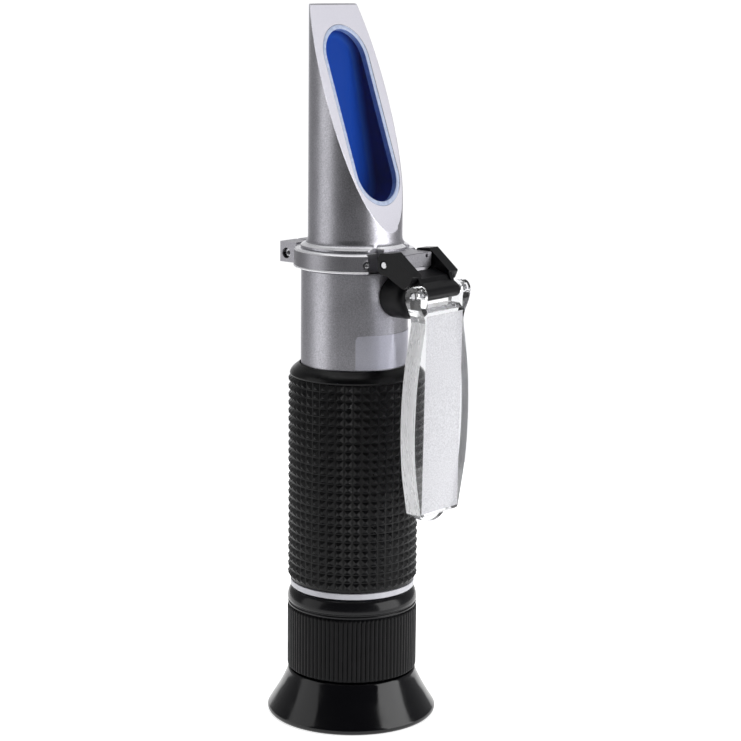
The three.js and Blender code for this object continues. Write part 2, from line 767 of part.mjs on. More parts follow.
// Black link: two cheeks on the lug, a shelf between them and a round-nosed crossbar for the plate.
function hingeLink() {
  const cheek = [
    [-14.0, 112.3],
    [-14.4, 112.75],
    [-17.75, 113.05],
    [-23.7, 108.25],
    [-22.85, 106.35],
    [-20.9, 105.15],
    [-16.2, 107.7],
    [-14.4, 107.9],
    [-13.75, 108.6],
    [-13.6, 111.4],
  ];
  const slope = Math.atan2(PLATE_PIN.z - LUG_PIN.z, PLATE_PIN.y - LUG_PIN.y);
  const along = [Math.cos(slope), Math.sin(slope)];
  const across = [along[1], -along[0]];
  const fromPin = (a, b) => [
    PLATE_PIN.y + along[0] * a + across[0] * b,
    PLATE_PIN.z + along[1] * a + across[1] * b,
  ];
  const nose = arc(0, 0, BAR_NOSE_RADIUS, -90, 90, 12).map(([a, b]) => fromPin(a, b));
  const bar = [...nose, fromPin(-BAR_BACK, BAR_NOSE_RADIUS), fromPin(-BAR_BACK, -BAR_NOSE_RADIUS)];
  const web = [
    [-23.4, 108.0],
    fromPin(-BAR_BACK + 0.6, BAR_NOSE_RADIUS),
    fromPin(-BAR_BACK + 0.6, -BAR_NOSE_RADIUS),
    [-20.4, 105.0],
    [-19.0, 108.0],
  ];
  // The underside stays above the path of the calibration cap as it is pulled off.
  const shelf = [
    [-19.2, 108.6],
    [-23.1, 107.4],
    [-23.75, 106.4],
    [-23.2, 105.5],
    [-22.3, 106.5],
    [-22.0, 107.1],
    [-19.2, 107.6],
  ];
  const pinHole = rodX(LUG_PIN.radius + GAP, LUG_PIN.y, LUG_PIN.z, -10, 10);
  const barHole = rodX(PLATE_PIN.radius + GAP, PLATE_PIN.y, PLATE_PIN.z, -10, 10);
  return crosswise(cheek, -CHEEK_OUTER, -CHEEK_INNER)
    .add(crosswise(cheek, CHEEK_INNER, CHEEK_OUTER))
    .add(crosswise(shelf, -CHEEK_INNER - 0.4, CHEEK_INNER + 0.4))
    .add(crosswise(web, -BAR_HALF_WIDTH, -CHEEK_INNER))
    .add(crosswise(web, CHEEK_INNER, BAR_HALF_WIDTH))
    .add(crosswise(bar, -BAR_HALF_WIDTH, BAR_HALF_WIDTH))
    .subtract(pinHole)
    .subtract(barHole);
}

// Pin through the crossbar and the two ears of the daylight plate.
function platePin() {
  const reach = EAR_OUTER - 0.3;
  return rodX(PLATE_PIN.radius, PLATE_PIN.y, PLATE_PIN.z, -reach, reach);
}

// Placement for the plate: X across, Y down the plate from its pin, Z towards its outer face.
function plateMatrix(offset) {
  const tilt = THREE.MathUtils.degToRad(PLATE_HANG_TILT_DEG);
  const down = new THREE.Vector3(0, Math.sin(tilt), -Math.cos(tilt));
  const back = new THREE.Vector3(0, Math.cos(tilt), Math.sin(tilt));
  const basis = new THREE.Matrix4().makeBasis(new THREE.Vector3(1, 0, 0), down, back);
  basis.setPosition(new THREE.Vector3(0, PLATE_PIN.y, PLATE_PIN.z).addScaledVector(back, offset));
  return basis;
}

// Half of the plate's outline, from the corner at its free end up to the top of the ear.
function plateEdge() {
  const knots = [
    [7.2, 49.9],
    [7.9, 46.8],
    [8.85, 42.5],
    [9.55, 37.5],
    [9.9, 32],
    [9.9, 27],
    [9.6, 21.5],
    [8.95, 16.5],
    [8.1, 12],
    [7.35, 8.6],
    [7.1, 6.6],
    [7.5, 4.9],
    [8.6, 3.0],
    [9.25, 1.4],
    [EAR_OUTER, 0],
  ];
  const curve = new THREE.SplineCurve(knots.map(([x, d]) => new THREE.Vector2(x, d)));
  return curve.getPoints(30).map((point) => [point.x, point.y]);
}

// Clear plate that folds down over the prism: waisted sides, two ears, a thumb tab at the free end.
function daylightPlate() {
  const corner = [
    [0, PLATE_LENGTH],
    [6.3, PLATE_LENGTH],
    [6.85, PLATE_LENGTH - 0.25],
    [7.1, PLATE_LENGTH - 0.7],
  ];
  const ear = [
    [EAR_OUTER, -3],
    [0, -3],
  ];
  const half = [...corner, ...plateEdge(), ...ear];
  const mirrored = half.slice(1, -1).reverse().map(([x, d]) => [-x, d]);
  const thickness = PLATE_FRONT + PLATE_BACK;
  const outline = extruded([...half, ...mirrored], thickness, plateMatrix(-PLATE_FRONT));
  const middle = (PLATE_BACK - PLATE_FRONT) / 2;
  const sideProfile = [
    ...arc(middle, 0, thickness / 2, 180, 360, 16),
    [PLATE_BACK, PLATE_LENGTH + 5],
    [-PLATE_FRONT, PLATE_LENGTH + 5],
  ];
  // The side profile is drawn as depth against distance down the plate, then turned across X.
  const turn = new THREE.Matrix4().makeBasis(
    new THREE.Vector3(0, 0, 1),
    new THREE.Vector3(0, 1, 0),
    new THREE.Vector3(-1, 0, 0),
  );
  turn.setPosition(12, 0, 0);
  const sideways = extruded(sideProfile, 24, plateMatrix(0).multiply(turn));
  const notch = extruded(
    [
      [-EAR_INNER, -4],
      [EAR_INNER, -4],
      [EAR_INNER, EAR_NOTCH_DEPTH],
      [-EAR_INNER, EAR_NOTCH_DEPTH],
    ],
    8,
    plateMatrix(-4),
  );
  const bevel = extruded(
    [
      [-PLATE_FRONT - 1, EAR_NOTCH_DEPTH - 1],
      [-PLATE_FRONT + 0.9, EAR_NOTCH_DEPTH - 1],
      [-PLATE_FRONT + 0.9, EAR_NOTCH_DEPTH],
      [-PLATE_FRONT, EAR_NOTCH_DEPTH + 0.9],
      [-PLATE_FRONT - 1, EAR_NOTCH_DEPTH + 0.9],
    ],
    2 * EAR_INNER,
    plateMatrix(0).multiply(turn.clone().setPosition(EAR_INNER, 0, 0)),
  );
  const tabOutline = arc(0, PLATE_LENGTH - 0.5, 1, 0, 180, 18).map(([x, d]) => [
    x * PLATE_TAB_HALF_WIDTH,
    PLATE_LENGTH - 0.5 + (d - PLATE_LENGTH + 0.5) * (PLATE_TAB_REACH + 0.5),
  ]);
  const tab = extruded(tabOutline, 2.1, plateMatrix(PLATE_BACK - 2.1));
  const pinHole = rodX(PLATE_PIN.radius + GAP, PLATE_PIN.y, PLATE_PIN.z, -12, 12);
  return outline
    .intersect(sideways)
    .subtract(notch)
    .subtract(bevel)
    .add(tab)
    .subtract(pinHole);
}

// ---------------------------------------------------------------------------
// Calibration screw, boss and rubber cap
// ---------------------------------------------------------------------------

// Bush fixed in the wall of the tube that guides the calibration screw.
function calibrationBoss() {
  const collar = rodY(BOSS_RADIUS, 0, CALIBRATION_Z, -BOSS_FRONT, -11.9);
  const shank = rodY(BOSS_RADIUS - 1.0, 0, CALIBRATION_Z, -12.5, -11.4);
  const tubeSpace = disc(TUBE_RADIUS + 0.2, 90, 110, OUTER_SEGMENTS);
  const screwHole = rodY(CALIBRATION_SCREW_RADIUS + GAP, 0, CALIBRATION_Z, -17, -9);
  const headRecess = rodY(2.6, 0, CALIBRATION_Z, -17, -14.6);
  return collar.subtract(tubeSpace).add(shank).subtract(screwHole).subtract(headRecess);
}

// Slotted screw that shifts the objective cell when it is turned.
function calibrationScrew() {
  const shank = rodY(CALIBRATION_SCREW_RADIUS, 0, CALIBRATION_Z, -14.4, -7.6, 24);
  const head = rodY(2.3, 0, CALIBRATION_Z, -15.5, -14.3 - 0.6, 24);
  const neck = rodY(CALIBRATION_SCREW_RADIUS, 0, CALIBRATION_Z, -15.0, -14.2, 24);
  const slot = block([-3, -16, CALIBRATION_Z - 0.3], [3, -15.1, CALIBRATION_Z + 0.3]);
  return shank.add(neck).add(head).subtract(slot);
}

// Soft round cap pushed over the boss, rounded at the front edge and shaped to the tube behind.
function calibrationCap() {
  const depth = CAP_FRONT - 11;
  const section = [
    [0, depth],
    [CAP_RADIUS - 1.1, depth],
    [CAP_RADIUS - 0.45, depth - 0.25],
    [CAP_RADIUS - 0.1, depth - 0.75],
    [CAP_RADIUS, depth - 1.4],
    [CAP_RADIUS, 0],
    [0, 0],
  ].reverse();
  const profile = section.map(([r, z]) => new THREE.Vector2(r, z));
  const segments = 30;
  const geometry = new THREE.LatheGeometry(profile, segments);
  geometry.rotateY(Math.PI / segments / 2);
  geometry.rotateX(Math.PI);
  geometry.translate(0, -11, CALIBRATION_Z);
  const tubeSpace = disc(TUBE_RADIUS + GAP, 90, 110, OUTER_SEGMENTS);
  const cavity = rodY(BOSS_RADIUS + GAP, 0, CALIBRATION_Z, -BOSS_FRONT - GAP, -10);
  return solid(geometry).subtract(tubeSpace).subtract(cavity);
}

// ---------------------------------------------------------------------------
// Objective and temperature compensation
// ---------------------------------------------------------------------------

// Ring that holds the objective lens and shifts sideways for calibration.
function objectiveCell() {
  const low = OBJECTIVE_Z - 2.6;
  const high = OBJECTIVE_Z + 3.6;
  return turned(
    [
      [OBJECTIVE_LENS_RADIUS - 0.6, low],
      [OBJECTIVE_CELL_RADIUS, low],
      [OBJECTIVE_CELL_RADIUS, high],
      [OBJECTIVE_LENS_RADIUS + GAP, high],
      [OBJECTIVE_LENS_RADIUS + GAP, low + 1.2],
      [OBJECTIVE_LENS_RADIUS - 0.6, low + 1.2],
      [OBJECTIVE_LENS_RADIUS - 0.6, low],
    ],
  );
}

function objectiveLens() {
  return lens(OBJECTIVE_LENS_RADIUS, OBJECTIVE_Z - 0.4, OBJECTIVE_Z + 1.2, 0.35, 0.7);
}

// Two-metal strip that bends with temperature and carries the objective cell's correction.
function bimetalStrip() {
  const strip = block([-3, STRIP_Y, STRIP_LOW], [3, STRIP_Y + STRIP_THICKNESS, STRIP_HIGH]);
  const hole = rodY(0.8 + GAP, 0, STRIP_SCREW_Z, STRIP_Y - 1, STRIP_Y + 2, 20);
  return strip.subtract(hole);
}

// Block inside the tube wall that the strip is screwed to.
function bimetalBlock() {
  const back = STRIP_Y + STRIP_THICKNESS + GAP;
  const body = block([-4, back, STRIP_LOW - 1], [4, 12, STRIP_LOW + 7]);
  const tubeSpace = disc(TUBE_BORE - GAP, 50, 90, OUTER_SEGMENTS);
  const hole = rodY(0.8 + GAP, 0, STRIP_SCREW_Z, STRIP_Y, 13, 20);
  return body.intersect(tubeSpace).subtract(hole);
}

// Screw that holds the strip to its block.
function bimetalScrew() {
  const head = rodY(1.6, 0, STRIP_SCREW_Z, STRIP_Y - 1.1, STRIP_Y - GAP, 20);
  const shank = rodY(0.8, 0, STRIP_SCREW_Z, STRIP_Y - 0.5, 10.7, 20);
  return head.add(shank);
}

// ---------------------------------------------------------------------------
// Baffle and reticle
// ---------------------------------------------------------------------------

// Blackened stop that keeps stray light off the scale.
function lightBaffle() {
  return turned(
    [
      [5.5, BAFFLE_Z],
      [GUIDE_SLEEVE_RADIUS, BAFFLE_Z - 2.5],
      [GUIDE_SLEEVE_RADIUS, BAFFLE_Z + 0.8],
      [5.5, BAFFLE_Z + 0.8],
      [5.5, BAFFLE_Z],
    ],
  );
}

// Seat for the glass scale.
function reticleHolder() {
  return turned(
    [
      [RETICLE_RADIUS - 1.3, RETICLE_Z - 2.5],
      [GUIDE_SLEEVE_RADIUS, RETICLE_Z - 2.5],
      [GUIDE_SLEEVE_RADIUS, RETICLE_Z + 4.5],
      [RETICLE_RADIUS + GAP, RETICLE_Z + 4.5],
      [RETICLE_RADIUS + GAP, RETICLE_Z - GAP],
      [RETICLE_RADIUS - 1.3, RETICLE_Z - GAP],
      [RETICLE_RADIUS - 1.3, RETICLE_Z - 2.5],
    ],
  );
}

function reticleDisc() {
  return disc(RETICLE_RADIUS, RETICLE_Z, RETICLE_Z + 1.5);
}

function reticleRetainer() {
  return ring(RETICLE_RADIUS - 1.3, RETICLE_RADIUS, RETICLE_Z + 1.5 + GAP, RETICLE_Z + 3.8);
}

// ---------------------------------------------------------------------------
// Eyepiece
// ---------------------------------------------------------------------------

// Sleeve fixed inside the tube that the eyepiece slides in.
function guideSleeve() {
  const sleeve = ring(
    GUIDE_SLEEVE_BORE,
    GUIDE_SLEEVE_RADIUS,
    GUIDE_SLEEVE_BOTTOM,
    GUIDE_SLEEVE_TOP,
  );
  return sleeve.subtract(rodX(KEY_PIN_RADIUS + GAP, 0, KEY_PIN_Z, 8, 13));
}

// Pin that keeps the eyepiece from turning as it slides.
function keyPin() {
  return rodX(KEY_PIN_RADIUS, 0, KEY_PIN_Z, 8.9, 12.3);
}

// Lens barrel with a foot flange that the focus ring carries and a slot for the key pin.
function eyepieceBarrel() {
  const barrel = turned(
    [
      [EYEPIECE_BORE, EYEPIECE_BOTTOM],
      [11.9, EYEPIECE_BOTTOM],
      [11.9, EYEPIECE_BOTTOM + 1.5],
      [EYEPIECE_RADIUS, EYEPIECE_BOTTOM + 1.5],
      [EYEPIECE_RADIUS, EYEPIECE_TOP],
      [EYEPIECE_BORE, EYEPIECE_TOP],
      [EYEPIECE_BORE, EYEPIECE_BOTTOM],
    ],
  );
  const slot = block([8.7, -1.15, KEY_PIN_Z - 1.5], [10.5, 1.15, EYEPIECE_TOP + 1]);
  return barrel.subtract(slot);
}

function eyeLens() {
  return lens(EYE_LENS_RADIUS, 13.2, 14.6, 0.6, 1.0);
}

function fieldLens() {
  return lens(EYE_LENS_RADIUS, 30.0, 31.0, 0.9, 0.5);
}

function lensSpacer() {
  return ring(6.9, EYE_LENS_RADIUS, 14.6 + GAP, 30.0 - GAP);
}

function lensRetainer() {
  return ring(6.6, EYE_LENS_RADIUS, 11.2, 13.2 - GAP);
}

// ---------------------------------------------------------------------------
// The refractometer
// ---------------------------------------------------------------------------

add("rubber_eyecup", rubberEyecup(), eyecupRubber());
add("focus_ring", focusRing(), blackPlastic());
add("eyepiece_barrel", eyepieceBarrel(), blackAnodised());
add("eye_lens", eyeLens(), opticalGlass());
add("field_lens", fieldLens(), opticalGlass());
add("lens_spacer", lensSpacer(), blackAnodised());
add("lens_retainer", lensRetainer(), blackAnodised());

add("main_tube", mainTube(), satinAluminium());
add("guide_sleeve", guideSleeve(), blackAnodised());
add("key_pin", keyPin(), steel());
add("rubber_grip", rubberGrip(), gripRubber());
add("trim_ring", trimRing(), trimWhite());
add("tube_label", tubeLabel(), labelFilm());

add("head_housing", headHousing(), satinAluminium());
add("main_prism", mainPrism(), prismGlass());
add("prism_seal", prismSeal(), sealResin());
add("clamp_collar", clampCollar(), brightAluminium());
add("clamp_screw", clampScrew(), steel());
add("collar_set_screw", collarSetScrew(), steel());

add("lug_pin", lugPin(), steel());
add("hinge_link", hingeLink(), blackPlastic());
add("plate_pin", platePin(), steel());
add("daylight_plate", daylightPlate(), clearAcrylic());

add("calibration_boss", calibrationBoss(), brightAluminium());
add("calibration_screw", calibrationScrew(), brass());
add("calibration_cap", calibrationCap(), capRubber());

add("objective_cell", objectiveCell(), blackAnodised());
add("objective_lens", objectiveLens(), opticalGlass());
add("bimetal_strip", bimetalStrip(), bimetal());
add("bimetal_block", bimetalBlock(), brightAluminium());
add("bimetal_screw", bimetalScrew(), steel());

add("light_baffle", lightBaffle(), blackAnodised());
add("reticle_holder", reticleHolder(), blackAnodised());
add("reticle_disc", reticleDisc(), opticalGlass());
add("reticle_retainer", reticleRetainer(), blackAnodised());

export default refractometer;
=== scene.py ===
import json
import math

import bmesh
import bpy
from mathutils import Matrix, Vector


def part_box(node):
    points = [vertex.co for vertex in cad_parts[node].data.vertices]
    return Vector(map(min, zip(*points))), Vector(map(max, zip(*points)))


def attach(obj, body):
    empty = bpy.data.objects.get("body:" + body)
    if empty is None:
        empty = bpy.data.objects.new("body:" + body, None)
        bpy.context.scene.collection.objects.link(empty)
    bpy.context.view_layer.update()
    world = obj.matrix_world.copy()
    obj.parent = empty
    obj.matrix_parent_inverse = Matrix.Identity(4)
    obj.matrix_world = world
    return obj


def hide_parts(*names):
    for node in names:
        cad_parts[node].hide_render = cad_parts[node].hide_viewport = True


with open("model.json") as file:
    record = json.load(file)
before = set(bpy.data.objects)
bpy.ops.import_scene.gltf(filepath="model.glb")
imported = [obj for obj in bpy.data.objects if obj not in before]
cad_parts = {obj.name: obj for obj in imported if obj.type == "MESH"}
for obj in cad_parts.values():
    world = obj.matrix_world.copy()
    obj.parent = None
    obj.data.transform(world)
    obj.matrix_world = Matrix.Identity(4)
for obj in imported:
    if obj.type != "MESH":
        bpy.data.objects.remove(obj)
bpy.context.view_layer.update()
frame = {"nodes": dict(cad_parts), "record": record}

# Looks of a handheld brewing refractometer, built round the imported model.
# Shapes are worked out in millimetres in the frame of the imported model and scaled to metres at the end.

MM = 0.001
ROUND = 160  # facets round the body
FINE_ROUND = 192  # facets of the parts turned about its axis


def span(node):
    """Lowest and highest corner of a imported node, in millimetres."""
    low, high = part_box(node)
    return low / MM, high / MM


def middle(node):
    low, high = span(node)
    return (low + high) / 2


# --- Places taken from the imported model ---

TUBE_LOW, TUBE_HIGH = span("main_tube")
AXIS_Y = (TUBE_LOW.y + TUBE_HIGH.y) / 2
TUBE_R = (TUBE_HIGH.x - TUBE_LOW.x) / 2
GRIP_LOW, GRIP_HIGH = span("rubber_grip")
FOCUS_LOW, FOCUS_HIGH = span("focus_ring")
CUP_HIGH = span("rubber_eyecup")[1]
TRIM_LOW, TRIM_HIGH = span("trim_ring")
HEAD_HIGH = span("head_housing")[1]
LABEL_LOW, LABEL_HIGH = span("tube_label")
CAP_LOW, CAP_HIGH = span("calibration_cap")
LUG_PIN = middle("lug_pin")
PLATE_PIN = middle("plate_pin")
SCREW = middle("clamp_screw")

BORE_R = 11.3  # inside of the tube and of the collar
SLEEVE_R = 12.8  # inside of the grip and of the trim ring
CORE_R = 14.2  # hidden wall behind the ribs and the pyramids
BUSH_HOLE_R = 2.9  # hole in the tube for the calibration bush
GRIP_COLUMNS, GRIP_ROWS = 46, 25
COLLAR_R = 14.3
COLLAR_BOTTOM = span("clamp_collar")[0].z
COLLAR_TOP = COLLAR_BOTTOM + 4.4
LUG_HALF = 4.75
FLANGE_R = 12.6
FLANGE_Z = COLLAR_TOP + 0.3
HEAD_R = 10.95
CHEEK_FLAT_NEAR, CHEEK_FLAT_FAR = 4.4, 9.0  # flats in the flange that the link's cheeks close against
CHEEK_FLAT_DEPTH = 10.2
FACE_TIP_Z = FLANGE_Z + 4.0
FACE_SLOPE = 2.836  # rise of the slanted face for each millimetre back
WINDOW_LOW, WINDOW_HIGH = 7.4, 48.3  # ends of the glass, up the slanted face from its tip
WINDOW_HALF = 6.85
SEAL_HALF = 7.85
WEDGE_DEEP, WEDGE_SHALLOW = 8.2, 2.4  # of the painted rear face at the low and high ends of the window
BACKING_WALL = 0.15
POCKET_SPARE = 0.35  # from the painted face to the bottom of the head's pocket
PLATE_TILT = math.radians(0.8)


# --- Outlines and solids, in millimetres ---

def rounded(corners, steps=4):
    """A closed outline of (x, y, radius) corners, each rounded by its radius."""
    outline = []
    for i, (x, y, radius) in enumerate(corners):
        corner = Vector((x, y))
        back = Vector(corners[i - 1][:2]) - corner
        on = Vector(corners[(i + 1) % len(corners)][:2]) - corner
        angle = back.angle(on)
        if radius <= 0 or angle > math.pi - 0.03:
            outline.append((x, y))
            continue
        reach = min(radius / math.tan(angle / 2), 0.48 * back.length, 0.48 * on.length)
        true_radius = reach * math.tan(angle / 2)
        inward = (back.normalized() + on.normalized()).normalized()
        centre = corner + inward * (true_radius / math.sin(angle / 2))
        first = corner + back.normalized() * reach - centre
        last = corner + on.normalized() * reach - centre
        start = math.atan2(first.y, first.x)
        sweep = (math.atan2(last.y, last.x) - start + math.pi) % (2 * math.pi) - math.pi
        for step in range(steps + 1):
            turn = start + sweep * step / steps
            outline.append((centre.x + true_radius * math.cos(turn),
                            centre.y + true_radius * math.sin(turn)))
    return outline


def curve(knots, steps=6):
    """A smooth open line through the knots."""
    points = []
    for i in range(len(knots) - 1):
        p0 = Vector(knots[max(i - 1, 0)])
        p1 = Vector(knots[i])
        p2 = Vector(knots[i + 1])
        p3 = Vector(knots[min(i + 2, len(knots) - 1)])
        for step in range(steps):
            t = step / steps
            point = 0.5 * (2 * p1 + (p2 - p0) * t + (2 * p0 - 5 * p1 + 4 * p2 - p3) * t ** 2
                           + (3 * p1 - p0 - 3 * p2 + p3) * t ** 3)
            points.append((point.x, point.y))
    points.append(tuple(knots[-1]))
    return points


def arc(cx, cy, radius, from_deg, to_deg, steps):
    """Points of an arc, both ends included."""
    points = []
    for i in range(steps + 1):
        angle = math.radians(from_deg + (to_deg - from_deg) * i / steps)
        points.append((cx + radius * math.cos(angle), cy + radius * math.sin(angle)))
    return points


def shape_of(verts, faces):
    """A closed mesh with its faces outwards."""
    shape = bmesh.new()
    made = [shape.verts.new(v) for v in verts]
    for face in faces:
        kept = []
        for index in face:
            if made[index] not in kept:
                kept.append(made[index])
        if len(kept) > 2:
            shape.faces.new(kept)
    bmesh.ops.remove_doubles(shape, verts=shape.verts, dist=1e-4)
    bmesh.ops.dissolve_degenerate(shape, edges=shape.edges, dist=1e-4)
    bmesh.ops.recalc_face_normals(shape, faces=shape.faces)
    return shape


def lathe(profile, segments=ROUND, centre=None):
    """A closed (radius, height) profile turned about the tube's axis, or about another upright line."""
    cx, cy = centre or (0.0, AXIS_Y)
    verts = []
    faces = []
    count = len(profile)
    for s in range(segments):
        angle = 2 * math.pi * s / segments
        for radius, z in profile:
            verts.append((cx + radius * math.cos(angle), cy + radius * math.sin(angle), z))
    for s in range(segments):
        t = (s + 1) % segments
        for i in range(count):
            j = (i + 1) % count
            faces.append((s * count + i, s * count + j, t * count + j, t * count + i))
    return shape_of(verts, faces)


def prism(outline, low, high, place=Matrix.Identity(4)):
    """A flat outline raised along local Z from low to high, then placed."""
    count = len(outline)
    verts = [place @ Vector((x, y, low)) for x, y in outline]
    verts += [place @ Vector((x, y, high)) for x, y in outline]
    faces = [tuple(range(count)), tuple(range(count, 2 * count))]
    for i in range(count):
        j = (i + 1) % count
        faces.append((i, j, count + j, count + i))
    return shape_of(verts, faces)


ACROSS = Matrix(((0, 0, 1, 0), (1, 0, 0, 0), (0, 1, 0, 0), (0, 0, 0, 1)))  # (y, z) outlines raised along X


def crosswise(outline, x0, x1):
    """A side outline of (y, z) points run across X."""
    return prism(outline, x0, x1, ACROSS)


def rod(start, end, radius, segments=32):
    """A round rod between two points."""
    start, end = Vector(start), Vector(end)
    line = end - start
    place = Matrix.Translation(start) @ line.to_track_quat("Z", "Y").to_matrix().to_4x4()
    ring = [(radius * math.cos(2 * math.pi * i / segments), radius * math.sin(2 * math.pi * i / segments))
            for i in range(segments)]
    return prism(ring, 0, line.length, place)


def block(low, high):
    """A box between two corners, used to add or cut."""
    outline = [(low[0], low[1]), (high[0], low[1]), (high[0], high[1]), (low[0], high[1])]
    return prism(outline, low[2], high[2])


def mesh_of(shape, name="working"):
    """A mesh made from a shape, which is used up."""
    mesh = bpy.data.meshes.new(name)
    shape.to_mesh(mesh)
    shape.free()
    return mesh


def linked(data, name="working"):
    """A new object in the scene."""
    made = bpy.data.objects.new(name, data)
    bpy.context.scene.collection.objects.link(made)
    return made


def bridge(shape, first, second):
    """Faces between two closed rings with the same number of vertices."""
    for i in range(len(first)):
        j = (i + 1) % len(first)
        shape.faces.new((first[i], first[j], second[j], second[i]))


def combined(base, others, operation):
    """A shape joined with, cut by, or kept inside other shapes."""
    target = linked(mesh_of(base))
    cutters = [linked(mesh_of(other)) for other in others]
    for cutter in cutters:
        modifier = target.modifiers.new("cut", "BOOLEAN")
        modifier.operation = operation
        modifier.solver = "EXACT"
        modifier.object = cutter
    bpy.context.view_layer.update()
    evaluated = target.evaluated_get(bpy.context.evaluated_depsgraph_get())
    result = bmesh.new()
    result.from_mesh(evaluated.to_mesh())
    evaluated.to_mesh_clear()
    for made in [target, *cutters]:
        mesh = made.data
        bpy.data.objects.remove(made)
        bpy.data.meshes.remove(mesh)
    bmesh.ops.remove_doubles(result, verts=result.verts, dist=1e-3)
    bmesh.ops.dissolve_degenerate(result, edges=result.edges, dist=1e-3)
    return result


def cut(base, *others):
    return combined(base, others, "DIFFERENCE")


def joined(base, *others):
    return combined(base, others, "UNION")


def inside(base, other):
    return combined(base, [other], "INTERSECT")


def soften(shape, width, steps=2, sharper_than=32):
    """Rounds every edge sharper than an angle, in degrees, by a small width."""
    edges = []
    for edge in shape.edges:
        if len(edge.link_faces) == 2 and edge.calc_face_angle(0) > math.radians(sharper_than):
            edges.append(edge)
    bmesh.ops.bevel(
        shape, geom=edges, offset=width, offset_type="OFFSET", segments=steps, profile=0.5,
        affect="EDGES", clamp_overlap=True,
    )
    return shape


def together(*shapes):
    """Several closed shapes as one mesh, not joined."""
    result = bmesh.new()
    for shape in shapes:
        mesh = mesh_of(shape)
        result.from_mesh(mesh)
        bpy.data.meshes.remove(mesh)
    return result


def piece(name, shape, materials, body, replaces=(), smooth=38):
    """Turns a shape in millimetres into a visual piece that rides on a body."""
    bmesh.ops.scale(shape, vec=(MM, MM, MM), verts=shape.verts)
    mesh = mesh_of(shape, name)
    mesh.shade_smooth()
    mesh.set_sharp_from_angle(angle=math.radians(smooth))
    made = linked(mesh, name)
    for material in materials if isinstance(materials, list) else [materials]:
        mesh.materials.append(material)
    weighted = made.modifiers.new("normals", "WEIGHTED_NORMAL")
    weighted.keep_sharp = True
    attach(made, body)
    if replaces:
        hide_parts(*replaces)
    return made


# --- Materials ---

class Finish:
    """A material with one Principled shader and helpers for its detail."""

    def __init__(self, name, color, roughness, metallic=0.0, specular=0.5):
        self.material = bpy.data.materials.new(name)
        self.material.use_nodes = True
        self.nodes = self.material.node_tree.nodes
        self.links = self.material.node_tree.links
        self.shader = self.nodes["Principled BSDF"]
        self.set("Base Color", (*color, 1))
        self.set("Roughness", roughness)
        self.set("Metallic", metallic)
        self.set("Specular IOR Level", specular)
        self.place = self.nodes.new("ShaderNodeTexCoord").outputs["Object"]
        self.patterns = {}

    def set(self, socket, value):
        self.shader.inputs[socket].default_value = value

    def stretched(self, scale):
        """Object coordinates stretched along an axis."""
        mapping = self.nodes.new("ShaderNodeMapping")
        mapping.inputs["Scale"].default_value = scale
        self.links.new(self.place, mapping.inputs["Vector"])
        return mapping.outputs["Vector"]

    def worked(self, operation, first, second):
        """One step of arithmetic on a socket and a second socket or number."""
        node = self.nodes.new("ShaderNodeMath")
        node.operation = operation
        self.links.new(first, node.inputs[0])
        if isinstance(second, float):
            node.inputs[1].default_value = second
        else:
            self.links.new(second, node.inputs[1])
        return node.outputs[0]

    def around(self, along):
        """Coordinates of height and a little of the width, for marks that run round the axis."""
        split = self.nodes.new("ShaderNodeSeparateXYZ")
        self.links.new(self.place, split.inputs[0])
        join = self.nodes.new("ShaderNodeCombineXYZ")
        self.links.new(split.outputs["Z"], join.inputs["Z"])
        self.links.new(self.worked("MULTIPLY", split.outputs["X"], along), join.inputs["X"])
        return join.outputs[0]

    def noise(self, size_mm, detail=4.0, place=None, rough=0.55):
        """Noise whose features are about this size."""
        texture = self.nodes.new("ShaderNodeTexNoise")
        texture.inputs["Scale"].default_value = 1.0 / (size_mm * MM)
        texture.inputs["Detail"].default_value = detail
        texture.inputs["Roughness"].default_value = rough
        self.links.new(place or self.place, texture.inputs["Vector"])
        return texture.outputs["Fac"]

    def pattern(self, entry):
        """Noise from an entry of the table of finishes, shared where the entry is used again."""
        if entry not in self.patterns:
            size_mm, detail, kind, amount = (*entry, None, None)[:4]
            place, rough = self.place, 0.55
            if kind == "stretched":
                place = self.stretched((1.0, 1.0, amount))
            elif kind == "around":
                place = self.around(amount)
            elif kind == "rough":
                rough = amount
            self.patterns[entry] = self.noise(size_mm, detail, place, rough)
        return self.patterns[entry]

    def spread(self, fac, low, high, start=0.3, end=0.7):
        """A factor turned into a value between low and high."""
        spread = self.nodes.new("ShaderNodeMapRange")
        spread.inputs["From Min"].default_value = start
        spread.inputs["From Max"].default_value = end
        spread.inputs["To Min"].default_value = low
        spread.inputs["To Max"].default_value = high
        self.links.new(fac, spread.inputs["Value"])
        return spread.outputs["Result"]

    def tint(self, fac, dark, light, start=0.3, end=0.7):
        """Base colour that moves between two colours with a factor."""
        ramp = self.nodes.new("ShaderNodeValToRGB")
        ramp.color_ramp.elements[0].position = start
        ramp.color_ramp.elements[0].color = (*dark, 1)
        ramp.color_ramp.elements[1].position = end
        ramp.color_ramp.elements[1].color = (*light, 1)
        self.links.new(fac, ramp.inputs["Fac"])
        self.links.new(ramp.outputs["Color"], self.shader.inputs["Base Color"])
        return ramp.outputs["Color"]

    def vary_roughness(self, fac, low, high, start=0.3, end=0.7):
        self.links.new(self.spread(fac, low, high, start, end), self.shader.inputs["Roughness"])

    def bump(self, fac, height_mm, strength=1.0):
        """Relief of this height. Calls add up."""
        bump = self.nodes.new("ShaderNodeBump")
        bump.inputs["Distance"].default_value = height_mm * MM
        bump.inputs["Strength"].default_value = strength
        self.links.new(fac, bump.inputs["Height"])
        socket = self.shader.inputs["Normal"]
        if socket.is_linked:
            self.links.new(socket.links[0].from_socket, bump.inputs["Normal"])
        self.links.new(bump.outputs["Normal"], socket)


